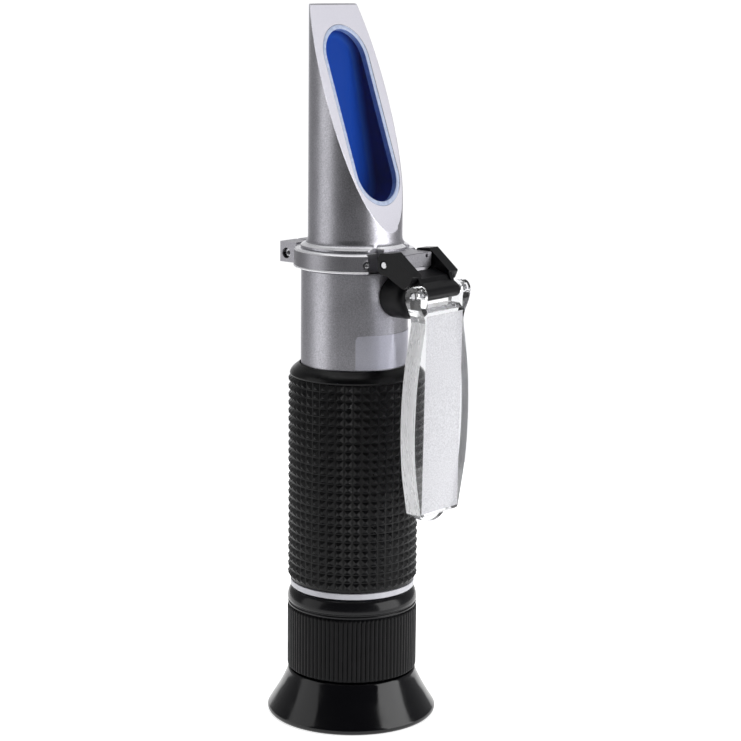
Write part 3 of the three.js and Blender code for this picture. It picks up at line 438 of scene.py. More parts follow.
# A pattern of noise is its feature size in millimetres and its detail. It may go on with "stretched" or
# "around" and an amount, or with "rough" and the noise's own roughness. A tint is a pattern, a dark and a
# light colour. Rough is a pattern, a low and a high value. Both may end with the range of the noise used.
# A bump is a pattern, its height in millimetres and its strength. Clear is the share of light let through
# and the IOR.
FINISHES = {
    # Bead-blasted silver anodising, with faint handling marks.
    "satin_aluminium": dict(
        color=(0.52, 0.515, 0.55), roughness=0.38, metallic=1.0,
        tint=((0.30, 4, "rough", 0.7), (0.32, 0.315, 0.345), (0.60, 0.595, 0.64)),
        rough=((9.0, 3), 0.34, 0.42), bumps=[((0.30, 4, "rough", 0.7), 0.02, 0.7)]),
    # Milled and lightly blasted metal of the slanted face, with fine tool marks.
    "face_aluminium": dict(
        color=(0.80, 0.80, 0.84), roughness=0.45, metallic=0.25,
        tint=((0.14, 3), (0.65, 0.64, 0.71), (0.75, 0.74, 0.81)),
        rough=((0.5, 2, "stretched", 0.09), 0.40, 0.52),
        bumps=[((0.14, 3), 0.008, 0.4), ((0.5, 2, "stretched", 0.09), 0.006, 0.4)]),
    # Collar metal with fine lathe lines round the axis.
    "turned_aluminium": dict(
        color=(0.45, 0.445, 0.475), roughness=0.42, metallic=1.0,
        tint=((0.2, 3), (0.28, 0.275, 0.30), (0.42, 0.415, 0.445)),
        rough=((0.10, 3, "around", 0.02), 0.34, 0.46), bumps=[((0.10, 3, "around", 0.02), 0.01, 0.4)]),
    # Bright cut bead and chamfers, made near white and little metallic, so partly a real bright cut and
    # partly a painted highlight.
    "polished_edge_painted_highlight": dict(
        color=(0.92, 0.92, 0.95), roughness=0.32, metallic=0.3, rough=((0.3, 3), 0.26, 0.40)),
    "steel": dict(
        color=(0.60, 0.60, 0.62), roughness=0.25, metallic=1.0,
        tint=((0.12, 3), (0.52, 0.52, 0.54), (0.68, 0.68, 0.70)), rough=((0.12, 3), 0.20, 0.32)),
    "brass": dict(
        color=(0.62, 0.42, 0.14), roughness=0.28, metallic=1.0,
        tint=((0.8, 4), (0.48, 0.30, 0.09), (0.70, 0.49, 0.18)), rough=((0.8, 4), 0.22, 0.38)),
    "bimetal": dict(
        color=(0.55, 0.40, 0.26), roughness=0.35, metallic=1.0,
        tint=((0.3, 3, "stretched", 0.08), (0.46, 0.32, 0.20), (0.62, 0.47, 0.32)),
        bumps=[((0.3, 3, "stretched", 0.08), 0.006, 0.4)]),
    "black_anodised": dict(
        color=(0.012, 0.012, 0.014), roughness=0.5, metallic=0.3,
        tint=((0.25, 3), (0.008, 0.008, 0.010), (0.018, 0.018, 0.021)), bumps=[((0.25, 3), 0.01, 0.4)]),
    # Moulded rubber, a little dusty in the grooves.
    "grip_rubber": dict(
        color=(0.010, 0.010, 0.011), roughness=0.32, specular=0.22,
        tint=((2.2, 5), (0.001, 0.001, 0.0015), (0.004, 0.004, 0.0045), 0.35, 0.75),
        rough=((2.2, 5), 0.26, 0.40), bumps=[((0.14, 4), 0.015, 0.5)]),
    # Ribbed black plastic, satin.
    "focus_plastic": dict(
        color=(0.010, 0.010, 0.011), roughness=0.42, specular=0.14,
        tint=((3.0, 5), (0.002, 0.002, 0.0025), (0.006, 0.006, 0.007), 0.35, 0.75),
        rough=((3.0, 5), 0.34, 0.46), bumps=[((0.2, 4), 0.008, 0.4)]),
    # Smooth black lip of the focus ring.
    "gloss_plastic": dict(
        color=(0.006, 0.006, 0.007), roughness=0.18, specular=0.25,
        rough=((2.5, 4), 0.13, 0.24), bumps=[((1.2, 2), 0.01, 0.3)]),
    # Glossy soft rubber with faint ripples and finger marks.
    "eyecup_rubber": dict(
        color=(0.003, 0.003, 0.004), roughness=0.14, specular=0.38,
        rough=((4.0, 5), 0.09, 0.22, 0.35, 0.75), bumps=[((2.6, 2), 0.012, 0.35)]),
    "cap_rubber": dict(
        color=(0.004, 0.004, 0.005), roughness=0.42, specular=0.18,
        tint=((0.2, 4), (0.002, 0.002, 0.003), (0.005, 0.005, 0.006)),
        rough=((1.8, 4), 0.34, 0.50), bumps=[((0.2, 4), 0.012, 0.4)]),
    # Moulded black plastic of the hinge, with a fine spark texture.
    "link_plastic": dict(
        color=(0.004, 0.004, 0.005), roughness=0.30, specular=0.2,
        tint=((1.6, 4), (0.002, 0.002, 0.003), (0.005, 0.005, 0.006)),
        rough=((0.15, 4), 0.26, 0.38), bumps=[((0.15, 4), 0.010, 0.5)]),
    "trim_white": dict(
        color=(0.52, 0.52, 0.56), roughness=0.35,
        tint=((2.4, 4), (0.48, 0.48, 0.52), (0.57, 0.57, 0.61)), rough=((0.4, 3), 0.30, 0.42)),
    # Cured resin round the glass, a little cloudy.
    "seal_resin": dict(
        color=(0.38, 0.47, 0.68), roughness=0.28,
        tint=((1.4, 4), (0.42, 0.49, 0.67), (0.52, 0.59, 0.76)),
        rough=((1.4, 4), 0.20, 0.36), bumps=[((0.6, 3), 0.02, 0.4)]),
    "optical_glass": dict(
        color=(0.97, 0.985, 1.0), roughness=0.02, clear=(1.0, 1.5), rough=((5.0, 5), 0.01, 0.05, 0.4, 0.8)),
    # Clear moulded plastic with faint flow marks.
    "clear_acrylic": dict(
        color=(0.965, 0.972, 0.985), roughness=0.03, clear=(1.0, 1.49),
        rough=((3.0, 4), 0.02, 0.08), bumps=[((3.5, 2), 0.02, 0.3)]),
    # Sides of the plate, a little matt from the mould, with fine draw lines down their length.
    "side_acrylic": dict(
        color=(0.95, 0.955, 0.97), roughness=0.25, clear=(0.4, 1.49),
        tint=((0.5, 3, "stretched", 0.03), (0.92, 0.925, 0.94), (0.98, 0.985, 1.0)),
        rough=((0.5, 3, "stretched", 0.03), 0.20, 0.40), bumps=[((0.5, 3, "stretched", 0.03), 0.01, 0.3)]),
    # Etched patch that spreads the light over the prism.
    "frosted_acrylic": dict(
        color=(0.80, 0.80, 0.83), roughness=0.6, clear=(0.35, 1.49),
        tint=((0.34, 4, "rough", 0.75), (0.52, 0.52, 0.55), (0.80, 0.80, 0.84), 0.38, 0.62),
        rough=((0.34, 4, "rough", 0.75), 0.45, 0.75), bumps=[((0.34, 4, "rough", 0.75), 0.03, 0.6)]),
    # Blank silver film.
    "label_film": dict(
        color=(0.72, 0.72, 0.80), roughness=0.34, metallic=0.6,
        tint=((0.25, 3), (0.56, 0.56, 0.64), (0.66, 0.66, 0.74)), rough=((2.0, 3), 0.28, 0.40)),
}


def surface(name):
    """A new material from the table of finishes."""
    return surface_of(name, **FINISHES[name])


def surface_of(name, color, roughness, tint=None, rough=None, bumps=(), clear=None, **shine):
    finish = Finish(name, color, roughness, **shine)
    if clear:
        finish.set("Transmission Weight", clear[0])
        finish.set("IOR", clear[1])
    if tint:
        finish.tint(finish.pattern(tint[0]), *tint[1:])
    if rough:
        finish.vary_roughness(finish.pattern(rough[0]), *rough[1:])
    for noise, height, strength in bumps:
        finish.bump(finish.pattern(noise), height, strength)
    return finish.material


def prism_paint_with_painted_shade():
    """Blue paint on the hidden faces of the prism, bright on the rear, with painted shade that makes the
    sides nearly navy.
    """
    finish = Finish("prism_paint_with_painted_shade", (0.010, 0.085, 0.60), 0.5, specular=0.1)
    # Painted shade: faces that turn away from the slanted face's outward direction are coloured darker, down
    # to navy, standing in for the shade inside the prism.
    normal = finish.nodes.new("ShaderNodeNewGeometry").outputs["Normal"]
    rear = finish.nodes.new("ShaderNodeVectorMath")
    rear.operation = "DOT_PRODUCT"
    rear.inputs[1].default_value = FACE_OUT
    finish.links.new(normal, rear.inputs[0])
    cloud = finish.spread(finish.noise(5.0, detail=3), -0.05, 0.05)
    fac = finish.worked("ADD", rear.outputs["Value"], cloud)
    # Painted shade: the share facing outwards picks between the dark navy of the shaded sides and the bright
    # blue of the rear.
    finish.tint(fac, (0.004, 0.015, 0.15), (0.006, 0.070, 0.36), 0.15, 0.95)
    finish.bump(finish.noise(0.4, detail=3), 0.01, 0.3)
    return finish.material


def window_glass():
    """Polished glass with light finger marks, which lets light straight through to the painted faces."""
    finish = Finish("window_glass", (0.95, 0.97, 1.0), 0.04)
    through = finish.nodes.new("ShaderNodeBsdfTransparent")
    through.inputs["Color"].default_value = (0.86, 0.92, 1.0, 1)
    gloss = finish.nodes.new("ShaderNodeBsdfGlossy")
    gloss.inputs["Color"].default_value = (1, 1, 1, 1)
    finish.links.new(finish.spread(finish.noise(4.0, detail=5), 0.02, 0.10), gloss.inputs["Roughness"])
    facing = finish.nodes.new("ShaderNodeLayerWeight")
    slope = finish.worked("POWER", facing.outputs["Facing"], 5.0)
    shine = finish.spread(slope, 0.015, 0.8, 0.0, 1.0)
    mix = finish.nodes.new("ShaderNodeMixShader")
    finish.links.new(shine, mix.inputs["Fac"])
    finish.links.new(through.outputs["BSDF"], mix.inputs[1])
    finish.links.new(gloss.outputs["BSDF"], mix.inputs[2])
    finish.links.new(mix.outputs["Shader"], finish.nodes["Material Output"].inputs["Surface"])
    return finish.material


METAL = surface("satin_aluminium")
FACE = surface("face_aluminium")
TURNED = surface("turned_aluminium")
# Near-white edge finish: partly a real bright cut, partly a painted highlight.
BRIGHT_EDGE_AND_HIGHLIGHT = surface("polished_edge_painted_highlight")
STEEL = surface("steel")
BLACK = surface("black_anodised")
GLASS = surface("optical_glass")


# --- Eyecup, focus ring and trim ring ---

def eyecup():
    """Soft flared cup: slightly hollow flank, rounded rim, open mouth underneath."""
    top = CUP_HIGH.z
    flank = curve([(20.12, 1.35), (18.5, 4.0), (17.0, 6.6), (15.85, 9.0), (15.35, 10.3)], 8)
    profile = [(17.9, 0.0), (19.35, 0.0), (19.8, 0.15), (20.08, 0.5), (20.2, 0.9)]
    profile += flank
    profile += [(15.2, top - 0.12), (15.0, top), (13.3, top), (13.3, 6.2)]
    profile += [(12.7, 6.2), (12.5, 6.0), (12.5, 5.6)]
    profile += curve([(12.5, 5.5), (14.2, 3.6), (16.2, 1.7), (17.9, 0.0)], 6)[:-1]
    shape = lathe(profile, FINE_ROUND)
    piece("eyecup_skin", shape, surface("eyecup_rubber"), "focus", ["rubber_eyecup"], 45)


def focus_ring():
    """Ninety fine ribs, a small bead above them and a smooth rounded lip."""
    ribs = 90
    steps = 8
    low, high = 11.2, 26.4
    levels = [(low, 0.0, -0.15), (low + 0.25, 0.7, -0.03), (low + 0.6, 1.0, 0.0),
              (high - 0.5, 1.0, 0.0), (high - 0.2, 0.6, -0.03), (high, 0.0, -0.1)]
    count = ribs * steps
    verts = []
    for z, share, grow in levels:
        for i in range(count):
            wave = abs(math.sin(math.pi * i / steps)) ** 0.7
            radius = 15.15 + grow + 0.30 * share * wave
            angle = 2 * math.pi * i / count
            verts.append((radius * math.cos(angle), AXIS_Y + radius * math.sin(angle), z))
    for z in (high, low):
        for i in range(count):
            angle = 2 * math.pi * i / count
            verts.append((CORE_R * math.cos(angle), AXIS_Y + CORE_R * math.sin(angle), z))
    rows = len(levels) + 2
    faces = []
    for row in range(rows):
        above = (row + 1) % rows
        for i in range(count):
            j = (i + 1) % count
            faces.append((row * count + i, row * count + j, above * count + j, above * count + i))
    ribbed = shape_of(verts, faces)
    piece("focus_ribs", ribbed, surface("focus_plastic"), "focus", ["focus_ring"], 50)

    top = FOCUS_HIGH.z
    drops = [(12.85, 0), (14.15, 0), (14.5, 0.12), (14.85, 0.5), (15.15, 1.1), (15.36, 1.8), (15.46, 2.5),
             (15.44, 2.95), (15.3, 3.2), (15.12, 3.35), (15.12, 3.55), (15.3, 3.65), (15.36, 3.85),
             (15.3, 4.1), (15.1, 4.3)]
    lip = [(12.85, 11.6)] + [(radius, top - drop) for radius, drop in drops]
    lip += [(14.9, high), (14.9, low), (13.0, low), (13.0, FOCUS_LOW.z), (8.7, FOCUS_LOW.z)]
    lip += [(8.7, 9.2), (12.25, 9.2), (12.25, 11.6)]
    shape = lathe(lip, FINE_ROUND)
    piece("focus_lip", shape, surface("gloss_plastic"), "focus", ["focus_ring"], 50)


def trim_ring():
    low, high = TRIM_LOW.z, TRIM_HIGH.z
    profile = rounded([(SLEEVE_R, low, 0), (14.75, low, 0.15), (14.75, high, 0.15), (SLEEVE_R, high, 0)])
    shape = lathe(profile, FINE_ROUND)
    piece("trim_band", shape, surface("trim_white"), "barrel", ["trim_ring"])


# --- Tube, grip and label ---

def grip_cells():
    """Rows of small blunt pyramids with narrow grooves between them."""
    columns, rows = GRIP_COLUMNS, GRIP_ROWS
    low, high = GRIP_LOW.z + 0.4, GRIP_HIGH.z - 2.8
    valley, peak = 14.85, 15.37
    column = 2 * math.pi / columns
    row = (high - low) / rows
    verts = []
    faces = []

    def at(u, v, radius):
        angle = u * column
        verts.append((radius * math.cos(angle), AXIS_Y + radius * math.sin(angle), low + v * row))
        return len(verts) - 1

    foot, tip = 0.44, 0.09  # half widths of a pyramid, as shares of its cell
    around = ((-1, -1), (1, -1), (1, 1), (-1, 1))
    feet = {}
    for c in range(columns):
        for r in range(rows):
            mid_u, mid_v = c + 0.5, r + 0.5
            base = [at(mid_u + su * foot, mid_v + sv * foot, valley) for su, sv in around]
            top = [at(mid_u + su * tip, mid_v + sv * tip, peak) for su, sv in around]
            faces.append(tuple(top))
            for i in range(4):
                j = (i + 1) % 4
                faces.append((base[i], base[j], top[j], top[i]))
            feet[c, r] = base
    for c in range(columns):
        n = (c + 1) % columns
        for r in range(rows):
            here, side = feet[c, r], feet[n, r]
            faces.append((here[1], side[0], side[3], here[2]))
            if r + 1 < rows:
                above, corner = feet[c, r + 1], feet[n, r + 1]
                faces.append((here[3], here[2], above[1], above[0]))
                faces.append((here[2], side[3], corner[0], above[1]))
    shape = bmesh.new()
    made = [shape.verts.new(v) for v in verts]
    for face in faces:
        shape.faces.new([made[i] for i in face])
    ends = [edge for edge in shape.edges if len(edge.link_faces) == 1]
    inner = {}
    for vert in {vert for edge in ends for vert in edge.verts}:
        scale = CORE_R / valley
        inner[vert] = shape.verts.new((vert.co.x * scale, AXIS_Y + (vert.co.y - AXIS_Y) * scale, vert.co.z))
    middle_z = (low + high) / 2
    upper = {}
    for vert, made_inner in inner.items():
        if vert.co.z > middle_z:
            upper[round(vert.co.x, 3), round(vert.co.y, 3)] = made_inner
    for edge in ends:
        first, second = edge.verts
        shape.faces.new((first, second, inner[second], inner[first]))
        if first.co.z < middle_z:
            above = [upper[round(vert.co.x, 3), round(vert.co.y, 3)] for vert in (first, second)]
            shape.faces.new((inner[first], inner[second], above[1], above[0]))
    bmesh.ops.recalc_face_normals(shape, faces=shape.faces)
    return shape


def grip():
    bottom, top = GRIP_LOW.z, GRIP_HIGH.z
    skirt = rounded([(SLEEVE_R, bottom, 0), (14.75, bottom, 0.2), (14.8, bottom + 0.5, 0),
                     (14.8, top - 2.75, 0), (SLEEVE_R, top - 2.75, 0)])
    bead = [(SLEEVE_R, 2.9), (14.8, 2.9), (14.98, 2.75), (15.06, 2.45), (14.98, 2.1), (14.8, 1.75),
            (14.5, 1.35), (14.1, 0.95), (13.65, 0.6), (13.25, 0.28), (12.98, 0.05), (12.88, 0),
            (SLEEVE_R, 0.05)]
    shoulder = [(radius, top - drop) for radius, drop in bead]
    shape = together(grip_cells(), lathe(skirt, 4 * GRIP_COLUMNS), lathe(shoulder, 4 * GRIP_COLUMNS))
    piece("grip_skin", shape, surface("grip_rubber"), "barrel", ["rubber_grip"], 24)


def tube():
    """Plain tube with the hole for the bush of the calibration screw."""
    low, high = TUBE_LOW.z, TUBE_HIGH.z
    profile = rounded([(BORE_R, low, 0), (TUBE_R, low, 0.15), (TUBE_R, high, 0.25), (BORE_R, high, 0)])
    screw = middle("calibration_screw")
    bush_hole = rod((0, AXIS_Y - 14, screw.z), (0, AXIS_Y - 8, screw.z), BUSH_HOLE_R)
    shape = cut(lathe(profile, FINE_ROUND), bush_hole)
    piece("tube_skin", shape, METAL, "barrel", ["main_tube"])


def label():
    """Thin blank film with rounded corners, wrapped on the front of the tube."""
    low, high = LABEL_LOW.z, LABEL_HIGH.z
    half = math.radians(49)
    inner, outer = TUBE_R + 0.03, TUBE_R + 0.13
    columns = 48
    corner = 0.9
    verts = []
    for radius in (inner, outer):
        for i in range(columns + 1):
            u = -1 + 2 * i / columns
            edge = (1 - abs(u)) * half * TUBE_R
            short = max(corner - edge, 0)
            drop = corner - math.sqrt(max(corner ** 2 - short ** 2, 0)) if edge < corner else 0
            angle = -math.pi / 2 + u * half
            for z in (low + drop * 0.2, high - drop):
                verts.append((radius * math.cos(angle), AXIS_Y + radius * math.sin(angle), z))
    faces = []
    side = 2 * (columns + 1)
    for i in range(columns):
        a = 2 * i
        faces.append((a, a + 2, a + 3, a + 1))
        faces.append((side + a, side + a + 1, side + a + 3, side + a + 2))
        faces.append((a, side + a, side + a + 2, a + 2))
        faces.append((a + 1, a + 3, side + a + 3, side + a + 1))
    last = 2 * columns
    faces.append((0, 1, side + 1, side))
    faces.append((last, side + last, side + last + 1, last + 1))
    piece("label_skin", shape_of(verts, faces), surface("label_film"), "barrel", ["tube_label"])


# --- Prism head ---

FACE_STEP = math.hypot(1, FACE_SLOPE)
FACE_UP = Vector((0, 1 / FACE_STEP, FACE_SLOPE / FACE_STEP))
FACE_OUT = Vector((0, -FACE_UP.z, FACE_UP.y))
FACE_TIP = Vector((0, AXIS_Y - HEAD_R, FACE_TIP_Z))


def on_face(x, up, out=0.0):
    """A point given across, up and out of the slanted face."""
    return FACE_TIP + Vector((x, 0, 0)) + FACE_UP * up + FACE_OUT * out


def stadium(half, low, high, steps=28):
    """Round-ended slot outline on the slanted face."""
    return arc(0, high - half, half, 0, 180, steps) + arc(0, low + half, half, 180, 360, steps)


def head():
    """Round head cut off by the slanted face, with a flat top and a small cove at its foot."""
    corner = math.acos((HEAD_R - (HEAD_HIGH.z - FACE_TIP_Z) / FACE_SLOPE) / HEAD_R)
    front_steps, back_steps = 56, 20
    angles = [corner * i / front_steps for i in range(front_steps + 1)]
    angles += [corner + (math.pi - corner) * i / back_steps for i in range(1, back_steps + 1)]
    angles = angles + [2 * math.pi - a for a in reversed(angles[1:-1])]
    foot = [(FLANGE_R - 0.1, FLANGE_Z - 0.2), (FLANGE_R, FLANGE_Z - 0.1), (FLANGE_R, FLANGE_Z + 0.38)]
    foot += [(FLANGE_R - 0.12, FLANGE_Z + 0.52), (FLANGE_R - 0.35, FLANGE_Z + 0.6)]
    foot += [(11.9, FLANGE_Z + 0.78), (11.5, FLANGE_Z + 1.05), (11.2, FLANGE_Z + 1.45)]
    foot += [(11.02, FLANGE_Z + 1.95), (HEAD_R, FLANGE_Z + 2.6)]
    inset = 0.14
    shape = bmesh.new()
    rings = []
    for angle in angles:
        across, back = math.sin(angle), -math.cos(angle)
        column = []
        for r, z in foot:
            x, y = r * across, r * back
            if CHEEK_FLAT_NEAR < abs(x) < CHEEK_FLAT_FAR:
                y = max(y, -CHEEK_FLAT_DEPTH)
            column.append(shape.verts.new((x, AXIS_Y + y, z)))
        rim_z = min(HEAD_HIGH.z, FACE_TIP_Z + FACE_SLOPE * (HEAD_R * back + HEAD_R))
        inner = HEAD_R - inset
        inner_z = min(HEAD_HIGH.z, FACE_TIP_Z + FACE_SLOPE * (inner * back + HEAD_R))
        column.append(shape.verts.new((HEAD_R * across, AXIS_Y + HEAD_R * back, rim_z - inset)))
        column.append(shape.verts.new((inner * across, AXIS_Y + inner * back, inner_z)))
        rings.append(column)
    count = len(rings)
    for i in range(count):
        j = (i + 1) % count
        for k in range(len(rings[0]) - 1):
            shape.faces.new((rings[i][k], rings[j][k], rings[j][k + 1], rings[i][k + 1]))
    front = list(range(front_steps + 1)) + list(range(count - front_steps, count))
    back = list(range(front_steps, count - front_steps + 1))
    shape.faces.new([rings[i][-1] for i in back])
    shape.faces.new([ring[0] for ring in rings])
    rim = [rings[i][-1] for i in sorted(front, key=lambda i: i if i > count // 2 else i + count)]
    gap = 0.03
    rim_seal = SEAL_HALF - WINDOW_HALF
    bevel = 0.1

    def hole(grow):
        reach = rim_seal + gap + grow
        return stadium(SEAL_HALF + gap + grow, WINDOW_LOW - reach, WINDOW_HIGH + reach)

    hole_top = [shape.verts.new(on_face(x, up, -bevel)) for x, up in hole(0)]
    hole_edge = [shape.verts.new(on_face(x, up, 0)) for x, up in hole(bevel)]
    # The hole for the prism is a closed pocket, deeper than the painted faces.
    hole_deep = [shape.verts.new(on_face(x, up, -wedge_depth(up) - POCKET_SPARE)) for x, up in hole(0)]
    shape.faces.new(hole_deep)
    bridge(shape, hole_edge, hole_top)
    bridge(shape, hole_top, hole_deep)
    n = len(hole_edge)
    loop = []
    for i in range(len(rim)):
        a, b = rim[i], rim[(i + 1) % len(rim)]
        loop.append(shape.edges.get((a, b)) or shape.edges.new((a, b)))
    for i in range(n):
        loop.append(shape.edges.get((hole_edge[i], hole_edge[(i + 1) % n])))
    bmesh.ops.triangle_fill(shape, edges=loop, use_beauty=True)
    bmesh.ops.recalc_face_normals(shape, faces=shape.faces)
    shape.normal_update()
    for face in shape.faces:
        if abs(face.normal.dot(FACE_OUT)) > 0.995 and face.calc_center_median().z > FACE_TIP_Z:
            face.material_index = 1
        # Painted highlight: faces at the foot that point upwards, where the top light falls, get the
        # near-white edge finish.
        elif face.normal.z > 0.35 and face.calc_center_median().z < FLANGE_Z + 1.0:
            face.material_index = 2
    piece("head_skin", shape, [METAL, FACE, BRIGHT_EDGE_AND_HIGHLIGHT], "barrel", ["head_housing"], 30)


def window_seal():
    """Band of resin with a low crown, flush with the metal outside and a little below it at the glass."""
    rim = SEAL_HALF - WINDOW_HALF
    section = [(0.0, -0.06), (0.2, 0.03), (0.5, 0.05), (0.8, 0.0), (1.0, -0.12), (1.0, -1.4), (0.0, -1.4)]
    rings = []
    shape = bmesh.new()
    for inward, out in section:
        low, high = WINDOW_LOW - rim + inward * rim, WINDOW_HIGH + rim - inward * rim
        outline = stadium(SEAL_HALF - inward * rim, low, high)
        rings.append([shape.verts.new(on_face(x, up, out)) for x, up in outline])
    for ring, following in zip(rings, rings[1:] + rings[:1]):
        bridge(shape, ring, following)
    bmesh.ops.recalc_face_normals(shape, faces=shape.faces)
    piece("window_seal", shape, surface("seal_resin"), "barrel", ["prism_seal"], 50)


def wedge_depth(up):
    """Depth of the prism's painted rear face behind the window."""
    share = (up - WINDOW_LOW) / (WINDOW_HIGH - WINDOW_LOW)
    return WEDGE_DEEP + (WEDGE_SHALLOW - WEDGE_DEEP) * share


def prism_parts():
    """Glass window and, behind it, the painted sides and rear face of the prism."""
    outline = stadium(WINDOW_HALF - 0.02, WINDOW_LOW + 0.02, WINDOW_HIGH - 0.02)
    shape = bmesh.new()
    front = [shape.verts.new(on_face(x, up, -0.1)) for x, up in outline]
    rear = [shape.verts.new(on_face(x * 0.995, up, -wedge_depth(up) + 0.03)) for x, up in outline]
    shape.faces.new(front)
    shape.faces.new(rear)
    bridge(shape, front, rear)
    bmesh.ops.recalc_face_normals(shape, faces=shape.faces)
    piece("prism_glass", shape, window_glass(), "barrel", ["main_prism"], 30)

    shape = bmesh.new()
    corner = 1.5
    sections = [(0.0, None)]
    for degrees in range(0, 91, 15):
        angle = math.radians(degrees)
        sections.append((corner * (1 - math.cos(angle)), corner * (1 - math.sin(angle))))
    lips = []
    for wall in (0.0, BACKING_WALL):
        rings = []
        for inward, short in sections:
            grow = 0.05 + wall - inward
            ring = []
            for x, up in stadium(WINDOW_HALF + grow, WINDOW_LOW - grow, WINDOW_HIGH + grow):
                depth = 0.2 if short is None else wedge_depth(up) + wall - short
                ring.append(shape.verts.new(on_face(x, up, -depth)))
            rings.append(ring)
        for upper, lower in zip(rings, rings[1:]):
            bridge(shape, upper, lower)
        shape.faces.new(rings[-1])
        lips.append(rings[0])
    bridge(shape, *lips)
    bmesh.ops.recalc_face_normals(shape, faces=shape.faces)
    piece("prism_backing", shape, prism_paint_with_painted_shade(), "barrel", ["main_prism"], 30)


# --- Collar and its screws ---

def set_screw_line():
    """The height of the set screw on the tube's axis, and its direction outwards."""
    screw = middle("collar_set_screw")
    return Vector((0, AXIS_Y, screw.z)), Vector((screw.x, screw.y - AXIS_Y, 0)).normalized()


def collar():
    """Split ring with the hinge lug in front and the clamp lugs behind."""
    low, top = COLLAR_BOTTOM, COLLAR_TOP
    band = [(BORE_R, low), (COLLAR_R - 0.35, low), (COLLAR_R - 0.08, low + 0.08), (COLLAR_R, low + 0.22)]
    band += [(COLLAR_R - 0.02, low + 0.42), (COLLAR_R - 0.16, low + 0.52), (COLLAR_R - 0.16, top - 0.45)]
    band += [(COLLAR_R - 0.6, top - 0.02), (COLLAR_R - 0.7, top), (BORE_R, top)]
    shape = lathe(band, ROUND)
    lug = crosswise(
        rounded([(AXIS_Y - 11.6, low, 0), (AXIS_Y - 17.1, low, 0.3), (AXIS_Y - 18.7, low + 1.4, 0.3),
                 (AXIS_Y - 18.7, top + 0.25, 0.3), (AXIS_Y - 13.2, top + 0.25, 0), (AXIS_Y - 13.2, top, 0),
                 (AXIS_Y - 11.6, top, 0)]),
        -LUG_HALF, LUG_HALF)
    flats = [block((min(s * LUG_HALF, s * 8.75), AXIS_Y - 20, low - 1),
                   (max(s * LUG_HALF, s * 8.75), AXIS_Y - 10.6, top + 1)) for s in (-1, 1)]
    shape = cut(shape, *flats)
    rear = block((-6, AXIS_Y + 12.9, low), (6, AXIS_Y + 17.9, top + 0.4))
    shape = joined(shape, lug, rear)
    bore = rod((0, AXIS_Y, low - 1), (0, AXIS_Y, top + 2), BORE_R, ROUND)
    slot = block((-0.4, AXIS_Y + 10, low - 1), (0.4, AXIS_Y + 19, top + 2))
    clamp = rod((-7, SCREW.y, SCREW.z), (7, SCREW.y, SCREW.z), 1.25)
    pin = rod((-6, LUG_PIN.y, LUG_PIN.z), (6, LUG_PIN.y, LUG_PIN.z), 1.0)
    dimple = rod((3.0, AXIS_Y - 19.7, top - 0.55), (3.0, AXIS_Y - 17.5, top - 0.55), 0.45, 20)
    centre, out = set_screw_line()
    set_hole = rod(centre + out * 10, centre + out * 16, 0.85, 24)
    shape = cut(shape, bore, slot, clamp, pin, dimple, set_hole)
    soften(shape, 0.09, 2, 35)
    shape.normal_update()
    for face in shape.faces:
        centre = face.calc_center_median()
        radius = math.hypot(centre.x, centre.y - AXIS_Y)
        on_ring = 13.5 < radius < 14.4
        above = 11.5 < radius < 14.4 and centre.z > top - 0.46
        # The top faces and the bottom bead get the near-white edge finish: partly a bright cut, partly a
        # painted highlight.
        if above or on_ring and centre.z < low + 0.5:
            face.material_index = 1
    piece("collar_skin", shape, [TURNED, BRIGHT_EDGE_AND_HIGHLIGHT], "barrel", ["clamp_collar"], 34)


def screws():
    """Clamp screw with a hexagon socket, and the collar's set screw."""
    low, high = span("clamp_screw")
    shank = rod((low.x, SCREW.y, SCREW.z), (high.x, SCREW.y, SCREW.z), 1.0)
    socket = rod((low.x - 1, SCREW.y, SCREW.z), (low.x + 1.3, SCREW.y, SCREW.z), 0.55, 6)
    shape = soften(cut(shank, socket), 0.07)
    piece("clamp_screw_skin", shape, STEEL, "barrel", ["clamp_screw"])
    centre, out = set_screw_line()
    shank = rod(centre + out * 11.4, centre + out * 14.15, 0.6, 24)
    socket = rod(centre + out * 13.4, centre + out * 15, 0.28, 6)
    shape = soften(cut(shank, socket), 0.06)
    piece("set_screw_skin", shape, STEEL, "barrel", ["collar_set_screw"])


# --- Double hinge and daylight plate ---

def pins():
    """Hinge pins with rounded ends."""
    for name, body, radius in (("lug_pin", "barrel", 0.8), ("plate_pin", "link", 0.7)):
        low, high = span(name)
        centre = middle(name)
        shape = rod((low.x, centre.y, centre.z), (high.x, centre.y, centre.z), radius)
        soften(shape, 0.18, 3)
        piece(name + "_skin", shape, STEEL, body, [name])


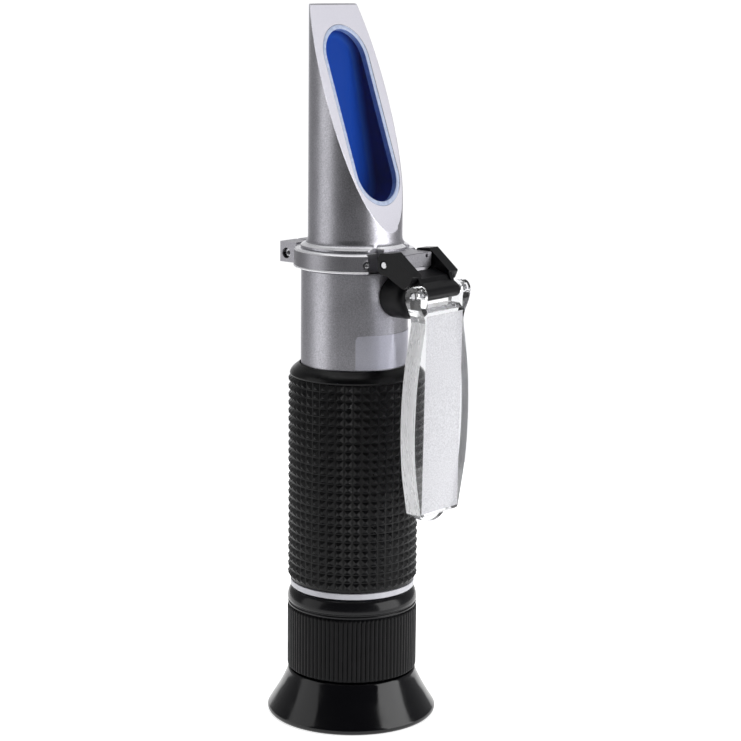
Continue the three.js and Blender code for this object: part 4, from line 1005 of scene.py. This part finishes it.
def link():
    """Two cheeks on the lug, joined by a round-nosed crossbar between the ears of the plate."""
    cheek_at = [(1.24, 2.2), (0.84, 2.65), (-2.51, 2.95), (-8.46, -1.85), (-7.61, -3.75), (-5.66, -4.95),
                (-0.96, -2.4), (0.84, -2.2), (1.49, -1.5), (1.64, 1.3)]
    cheek = rounded([(LUG_PIN.y + dy, LUG_PIN.z + dz, 0.35) for dy, dz in cheek_at], 3)
    line = Vector((PLATE_PIN.y - LUG_PIN.y, PLATE_PIN.z - LUG_PIN.z)).normalized()
    side = Vector((line.y, -line.x))

    def from_pin(a, b):
        return (PLATE_PIN.y + line.x * a + side.x * b, PLATE_PIN.z + line.y * a + side.y * b)

    nose = [from_pin(a, b) for a, b in arc(0, 0, 1.6, -90, 90, 20)]
    bar = nose + [from_pin(-1.9, 1.6), from_pin(-1.9, -1.6)]
    web = [(LUG_PIN.y - 8.16, LUG_PIN.z - 2.1), from_pin(-1.3, 1.6), from_pin(-1.3, -1.6),
           (LUG_PIN.y - 5.16, LUG_PIN.z - 5.1), (LUG_PIN.y - 3.76, LUG_PIN.z - 2.1)]
    shelf_at = [(-3.96, -1.5), (-7.86, -2.7), (-8.48, -3.7), (-7.96, -4.6), (-7.06, -3.6), (-6.76, -3.0),
                (-3.96, -2.5)]
    shelf = rounded([(LUG_PIN.y + dy, LUG_PIN.z + dz, 0.15) for dy, dz in shelf_at], 3)
    shape = joined(crosswise(bar, -6.2, 6.2), crosswise(cheek, -8.35, -5.1), crosswise(cheek, 5.1, 8.35),
                   crosswise(web, -6.2, -5.12), crosswise(web, 5.12, 6.2), crosswise(shelf, -5.5, 5.5))
    pin_hole = rod((-10, LUG_PIN.y, LUG_PIN.z), (10, LUG_PIN.y, LUG_PIN.z), 0.95)
    shape = cut(shape, pin_hole)
    soften(shape, 0.16, 2, 30)
    piece("link_skin", shape, surface("link_plastic"), "link", ["hinge_link"], 40)


def plate_outline():
    """Waisted outline of the plate across X, down from its pin."""
    knots = [(7.2, 49.9), (7.9, 46.8), (8.85, 42.5), (9.55, 37.5), (9.9, 32), (9.9, 27), (9.6, 21.5),
             (8.95, 16.5), (8.1, 12), (7.35, 8.6), (7.1, 6.6), (7.5, 4.9), (8.6, 3.0), (9.25, 1.4), (9.4, 0)]
    half = [(0, 51.1), (6.3, 51.1), (6.75, 50.95), (7.05, 50.6)] + curve(knots, 4) + [(9.4, -3), (0, -3)]
    return half + [(-x, d) for x, d in reversed(half[1:-1])]


def plate_place():
    """Placement of the plate: X across, Y down the plate from its pin, Z towards its outer face."""
    down = Vector((0, math.sin(PLATE_TILT), -math.cos(PLATE_TILT)))
    back = Vector((0, math.cos(PLATE_TILT), math.sin(PLATE_TILT)))
    place = Matrix.Identity(4)
    for row in range(3):
        place[row][0] = (1, 0, 0)[row]
        place[row][1] = down[row]
        place[row][2] = back[row]
        place[row][3] = PLATE_PIN[row] if row else 0
    return place


def plate():
    """Clear plate with two ears, a thumb tab and an etched patch on the face that meets the prism."""
    front, back = -2.1, 2.0
    frost_half, frost_low, frost_high = 6.7, 4.6, 50.4
    shape = prism(plate_outline(), front, back)
    mid, half = (front + back) / 2, (back - front) / 2
    profile = arc(mid, 0, half, 180, 360, 24) + [(back, 56), (front, 56)]
    sideways = Matrix(((0, 0, 1, 0), (0, 1, 0, 0), (1, 0, 0, 0), (0, 0, 0, 1)))
    shape = inside(shape, prism(profile, -12, 12, sideways))
    notch = block((-6.5, -4, -4), (6.5, 2.95, 4))
    chamfer_at = [(-1, 1.95), (0.9, 1.95), (0.9, 2.95), (0, 3.85), (-1, 3.85)]
    chamfer = prism([(front + out, down) for out, down in chamfer_at], -6.5, 6.5, sideways)
    pin_hole = rod((-12, 0, 0), (12, 0, 0), 0.85)
    tab_edge = [(x * 5.0, 50.6 + d * 2.8) for x, d in arc(0, 0, 1, 0, 180, 32)]
    tab = prism(tab_edge, back - 2.1, back - 0.05)
    shape = joined(shape, tab)
    shape = cut(shape, notch, chamfer, pin_hole)
    soften(shape, 0.3, 3, 30)

    shape.normal_update()
    # The etched patch gets edges of its own in the front face.
    for edge_at, normal in (((-frost_half, 0, 0), (1, 0, 0)), ((frost_half, 0, 0), (1, 0, 0)),
                            ((0, frost_low, 0), (0, 1, 0)), ((0, frost_high, 0), (0, 1, 0))):
        faces = [f for f in shape.faces if f.normal.z < -0.999]
        geometry = set(faces)
        for face in faces:
            geometry.update(face.edges)
            geometry.update(face.verts)
        bmesh.ops.bisect_plane(shape, geom=list(geometry), plane_co=edge_at, plane_no=normal, dist=1e-4)
        shape.normal_update()
    for face in shape.faces:
        centre = face.calc_center_median()
        patch = abs(centre.x) < frost_half - 0.01 and frost_low < centre.y < frost_high
        if face.normal.z < -0.999 and patch:
            face.material_index = 1
        elif abs(face.normal.x) > 0.8 and centre.y > 6 and abs(centre.x) > 7:
            face.material_index = 2
    bmesh.ops.transform(shape, matrix=plate_place(), verts=shape.verts)
    bmesh.ops.recalc_face_normals(shape, faces=shape.faces)
    materials = [surface("clear_acrylic"), surface("frosted_acrylic"), surface("side_acrylic")]
    piece("plate_skin", shape, materials, "plate", ["daylight_plate"], 34)


# --- Calibration cap ---

def calibration_cap():
    """Soft round cap with a rounded front edge, shaped to the tube behind."""
    radius = (CAP_HIGH.x - CAP_LOW.x) / 2
    front = CAP_LOW.y
    z = (CAP_LOW.z + CAP_HIGH.z) / 2
    depth = AXIS_Y - 11 - front
    edge = [(0, 1.5), (0.08, 0.95), (0.28, 0.5), (0.62, 0.18), (1.05, 0.02), (1.6, 0.02), (2.2, 0.14)]
    section = [(0, 0), (radius, 0)] + [(radius - inward, depth - short) for inward, short in edge]
    section += [(0, depth - 0.2)]
    shape = lathe(section, 96, centre=(0.0, 0.0))
    turn = Matrix.Translation((0, AXIS_Y - 11, z)) @ Matrix.Rotation(math.radians(90), 4, "X")
    bmesh.ops.transform(shape, matrix=turn, verts=shape.verts)
    tube_space = rod((0, AXIS_Y, z - 10), (0, AXIS_Y, z + 10), TUBE_R + 0.12, ROUND)
    cavity = rod((0, AXIS_Y - 15.9, z), (0, AXIS_Y - 10, z), 3.9, 48)
    shape = cut(shape, tube_space, cavity)
    soften(shape, 0.1, 2, 50)
    piece("cap_skin", shape, surface("cap_rubber"), "cap", ["calibration_cap"], 40)


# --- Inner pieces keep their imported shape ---

def dress_inner_pieces():
    by_slot = {"black_anodised": BLACK, "steel": STEEL, "bright_aluminium": TURNED, "brass": surface("brass"),
               "bimetal": surface("bimetal"), "optical_glass": GLASS}
    for part in frame["record"]["subparts"]:
        node = frame["nodes"][part["node"]]
        if node.hide_render or part["material_slot"] not in by_slot:
            continue
        node.data.materials.clear()
        node.data.materials.append(by_slot[part["material_slot"]])


# --- Camera, floor and light ---

VIEW_AZIMUTH = math.radians(-50.78)
VIEW_PITCH = math.radians(10.94)
VIEW_ROLL = math.radians(0.58)
LENS = 100.83
CAMERA_BACK, CAMERA_RIGHT, CAMERA_HEIGHT = 478.4, 3.87, 175.4
FLOOR_RADIUS, FLOOR_DROP, FLOOR_GLOW = 0.26, 0.00005, 0.78
LIGHT_AIM = Vector((0, 0, 0.09))
LIGHT_DISTANCE = 0.9
SOFTBOXES = (  # name, turn and rise in degrees, width and height in metres, watts
    ("left_softbox", -77, 8, 0.62, 1.0, 2.1),
    ("right_softbox", 70, 8, 0.70, 1.0, 7.4),
    ("top_softbox", 180, 78, 0.9, 0.9, 5.0),
)
SKY = ((0.0, 0.03), (0.12, 0.04), (0.40, 0.16), (0.70, 0.26), (0.93, 0.34), (0.968, 1.04))
VIEW_BACK = Vector((math.sin(VIEW_AZIMUTH), -math.cos(VIEW_AZIMUTH), 0))
VIEW_RIGHT = Vector((math.cos(VIEW_AZIMUTH), math.sin(VIEW_AZIMUTH), 0))


def camera():
    """Long lens, a little above the middle of the standing instrument, looking slightly down."""
    forward = -VIEW_BACK * math.cos(VIEW_PITCH) - Vector((0, 0, math.sin(VIEW_PITCH)))
    upward = -VIEW_BACK * math.sin(VIEW_PITCH) + Vector((0, 0, math.cos(VIEW_PITCH)))
    right = VIEW_RIGHT * math.cos(VIEW_ROLL) + upward * math.sin(VIEW_ROLL)
    up = upward * math.cos(VIEW_ROLL) - VIEW_RIGHT * math.sin(VIEW_ROLL)
    data = bpy.data.cameras.new("camera")
    data.sensor_width = 36
    data.lens = LENS
    data.clip_start, data.clip_end = 0.01, 20
    made = linked(data, "camera")
    place = VIEW_BACK * CAMERA_BACK + VIEW_RIGHT * CAMERA_RIGHT + Vector((0, AXIS_Y, CAMERA_HEIGHT))
    made.matrix_world = Matrix.Translation(place * MM) @ Matrix((right, up, -forward)).transposed().to_4x4()
    bpy.context.scene.camera = made


def floor():
    """Pale plain table."""
    finish = Finish("floor", (0.93, 0.93, 0.93), 0.6, specular=0.1)
    finish.tint(finish.noise(40, detail=2), (0.925, 0.925, 0.925), (0.935, 0.935, 0.935))
    finish.set("Emission Color", (1, 1, 1, 1))
    finish.set("Emission Strength", FLOOR_GLOW)
    shape = bmesh.new()
    bmesh.ops.create_circle(shape, cap_ends=True, radius=FLOOR_RADIUS, segments=128)
    bmesh.ops.translate(shape, vec=(0, 0, -FLOOR_DROP), verts=shape.verts)
    mesh = mesh_of(shape, "floor")
    mesh.materials.append(finish.material)
    made = linked(mesh, "floor")


def toward(turn_deg, rise_deg):
    """Direction given by a turn to the right of the camera's side and a rise, both in degrees."""
    turn, rise = math.radians(turn_deg), math.radians(rise_deg)
    flat = VIEW_BACK * math.cos(turn) + VIEW_RIGHT * math.sin(turn)
    return flat * math.cos(rise) + Vector((0, 0, math.sin(rise)))


def softbox(name, turn_deg, rise_deg, width, height, watts):
    """Rectangular softbox that faces the middle of the instrument."""
    data = bpy.data.lights.new(name, "AREA")
    data.shape = "RECTANGLE"
    data.size, data.size_y = width, height
    data.energy = watts
    made = linked(data, name)
    direction = toward(turn_deg, rise_deg)
    turned = direction.to_track_quat("Z", "Y").to_matrix().to_4x4()
    made.matrix_world = Matrix.Translation(LIGHT_AIM + direction * LIGHT_DISTANCE) @ turned


def light():
    """Soft surroundings, dark behind the camera and white behind the instrument, and three softboxes."""
    world = bpy.data.worlds.new("studio")
    bpy.context.scene.world = world
    world.use_nodes = True
    nodes, links = world.node_tree.nodes, world.node_tree.links
    background = nodes["Background"]
    place = nodes.new("ShaderNodeTexCoord").outputs["Generated"]
    dot = nodes.new("ShaderNodeVectorMath")
    dot.operation = "DOT_PRODUCT"
    dot.inputs[1].default_value = toward(180, -6)
    links.new(place, dot.inputs[0])
    spread = nodes.new("ShaderNodeMapRange")
    spread.inputs["From Min"].default_value = -1.0
    links.new(dot.outputs["Value"], spread.inputs["Value"])
    ramp = nodes.new("ShaderNodeValToRGB")
    ramp.color_ramp.elements.remove(ramp.color_ramp.elements[1])
    for i, (position, grey) in enumerate(SKY):
        stop = ramp.color_ramp.elements[0] if i == 0 else ramp.color_ramp.elements.new(position)
        stop.position = position
        stop.color = (grey, grey, grey * 1.01, 1)
    links.new(spread.outputs["Result"], ramp.inputs["Fac"])
    links.new(ramp.outputs["Color"], background.inputs["Color"])
    background.inputs["Strength"].default_value = 1.0
    for box in SOFTBOXES:
        softbox(*box)
    bpy.context.scene.view_settings.view_transform = "Standard"
    bpy.context.scene.view_settings.look = "None"


camera()
floor()
light()
eyecup()
focus_ring()
trim_ring()
grip()
tube()
label()
head()
window_seal()
prism_parts()
collar()
screws()
pins()
link()
plate()
calibration_cap()
dress_inner_pieces()
